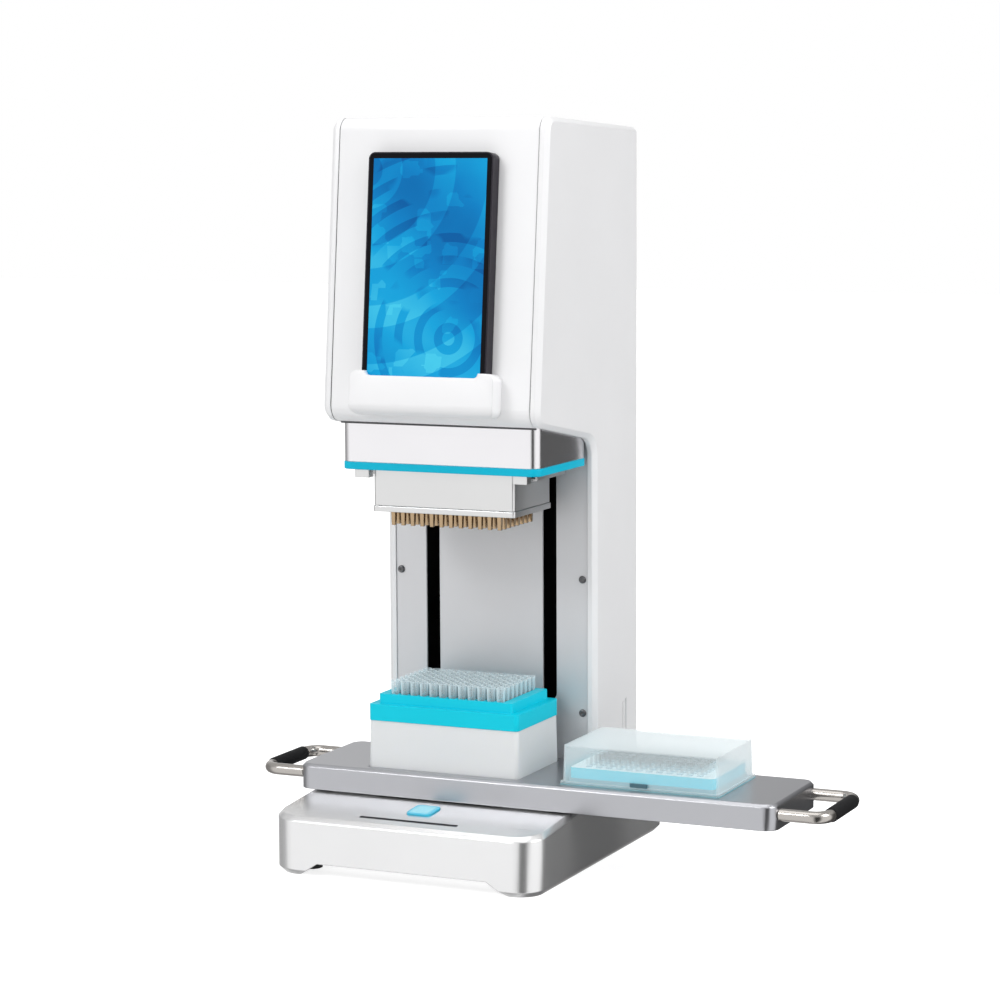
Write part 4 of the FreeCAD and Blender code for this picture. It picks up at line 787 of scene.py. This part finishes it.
paper.links.new(fibres.outputs["Fac"], flecks.inputs["Value"])
paper.links.new(flecks.outputs[0], paper_shader.inputs["Base Color"])
paper_shader.inputs["Emission Color"].default_value = (1, 1, 1, 1)
ray = place(paper, "ShaderNodeLightPath", -450, 400)
lift = place(paper, "ShaderNodeMath", -200, -100, operation="MULTIPLY")
lift.inputs[1].default_value = 0.80
paper.links.new(ray.outputs["Is Camera Ray"], lift.inputs[0])
paper.links.new(lift.outputs[0], paper_shader.inputs["Emission Strength"])
bench.materials.append(bench_white)
floor.visible_glossy = False


def soft_panel(name, spot, aim, width, height, power):
    """Rectangular lamp that looks at a point."""
    lamp = bpy.data.lights.new(name, "AREA")
    lamp.shape = "RECTANGLE"
    lamp.size = width
    lamp.size_y = height
    lamp.energy = power
    holder = bpy.data.objects.new(name, lamp)
    bpy.context.scene.collection.objects.link(holder)
    holder.location = spot
    way = Vector(aim) - Vector(spot)
    holder.rotation_euler = way.to_track_quat("-Z", "Y").to_euler()


soft_panel("key_panel", (-1.1, -2.2, 2.0), (0, 0, 0.3), 0.9, 0.9, 25)
soft_panel("top_panel", (0.0, -0.3, 2.6), (0, 0, 0.2), 2.2, 1.8, 16)
soft_panel("right_panel", (2.4, -0.2, 1.9), (0, 0, 0.3), 1.4, 1.4, 30)

world = bpy.data.worlds.new("studio")
bpy.context.scene.world = world
world.use_nodes = True
sky = world.node_tree
sky.nodes.clear()
way_in = place(sky, "ShaderNodeTexCoord", -1500, 0)
cards = [(-180, 0.16), (-168, 0.34), (-150, 0.84), (-134, 0.84), (-115, 0.35), (-75, 0.42),
         (-48, 1.08), (7, 1.08), (17, 0.05), (43, 0.05), (55, 1.12), (107, 1.12), (118, 0.10),
         (150, 0.10), (170, 0.10), (180, 0.16)]
walls, way_parts = azimuth_ramp(sky, way_in.outputs["Generated"], cards, -1300, 0)
rise = place(sky, "ShaderNodeMapRange", -600, -250)
rise.inputs["From Min"].default_value = 0.28
rise.inputs["From Max"].default_value = 0.55
sky.links.new(way_parts.outputs["Z"], rise.inputs["Value"])
room = place(sky, "ShaderNodeMix", -300, -50, data_type="RGBA")
room.inputs[7].default_value = (0.62, 0.62, 0.62, 1)
sky.links.new(rise.outputs[0], room.inputs["Factor"])
sky.links.new(walls.outputs["Color"], room.inputs[6])
around = place(sky, "ShaderNodeBackground", -100, 100)
sky.links.new(room.outputs[2], around.inputs["Color"])
behind = place(sky, "ShaderNodeBackground", -100, -100)
behind.inputs["Color"].default_value = (1, 1, 1, 1)
seen = place(sky, "ShaderNodeLightPath", -100, 400)
choose = place(sky, "ShaderNodeMixShader", 150, 0)
sky.links.new(seen.outputs["Is Camera Ray"], choose.inputs[0])
sky.links.new(around.outputs[0], choose.inputs[1])
sky.links.new(behind.outputs[0], choose.inputs[2])
out = place(sky, "ShaderNodeOutputWorld", 350, 0)
sky.links.new(choose.outputs[0], out.inputs[0])

yaw = math.radians(24.368)
pitch = math.radians(6.871)
roll = math.radians(-0.303)
spot = Vector((1.0896, -2.3274, 0.6184))
focal_length_px = 3026.1
picture_width_px = 1000
ahead = Vector((-math.sin(yaw) * math.cos(pitch), math.cos(yaw) * math.cos(pitch), -math.sin(pitch)))
right = Vector((math.cos(yaw), math.sin(yaw), 0))
up = right.cross(ahead)
right_rolled = right * math.cos(roll) + up * math.sin(roll)
up_rolled = up * math.cos(roll) - right * math.sin(roll)
eye = bpy.data.cameras.new("camera")
eye.sensor_width = 36
eye.lens = focal_length_px / picture_width_px * eye.sensor_width
camera = bpy.data.objects.new("camera", eye)
bpy.context.scene.collection.objects.link(camera)
turn = Matrix((right_rolled, up_rolled, -ahead)).transposed()
camera.matrix_world = Matrix.Translation(spot) @ turn.to_4x4()
bpy.context.scene.camera = camera
bpy.context.scene.view_settings.view_transform = "Standard"
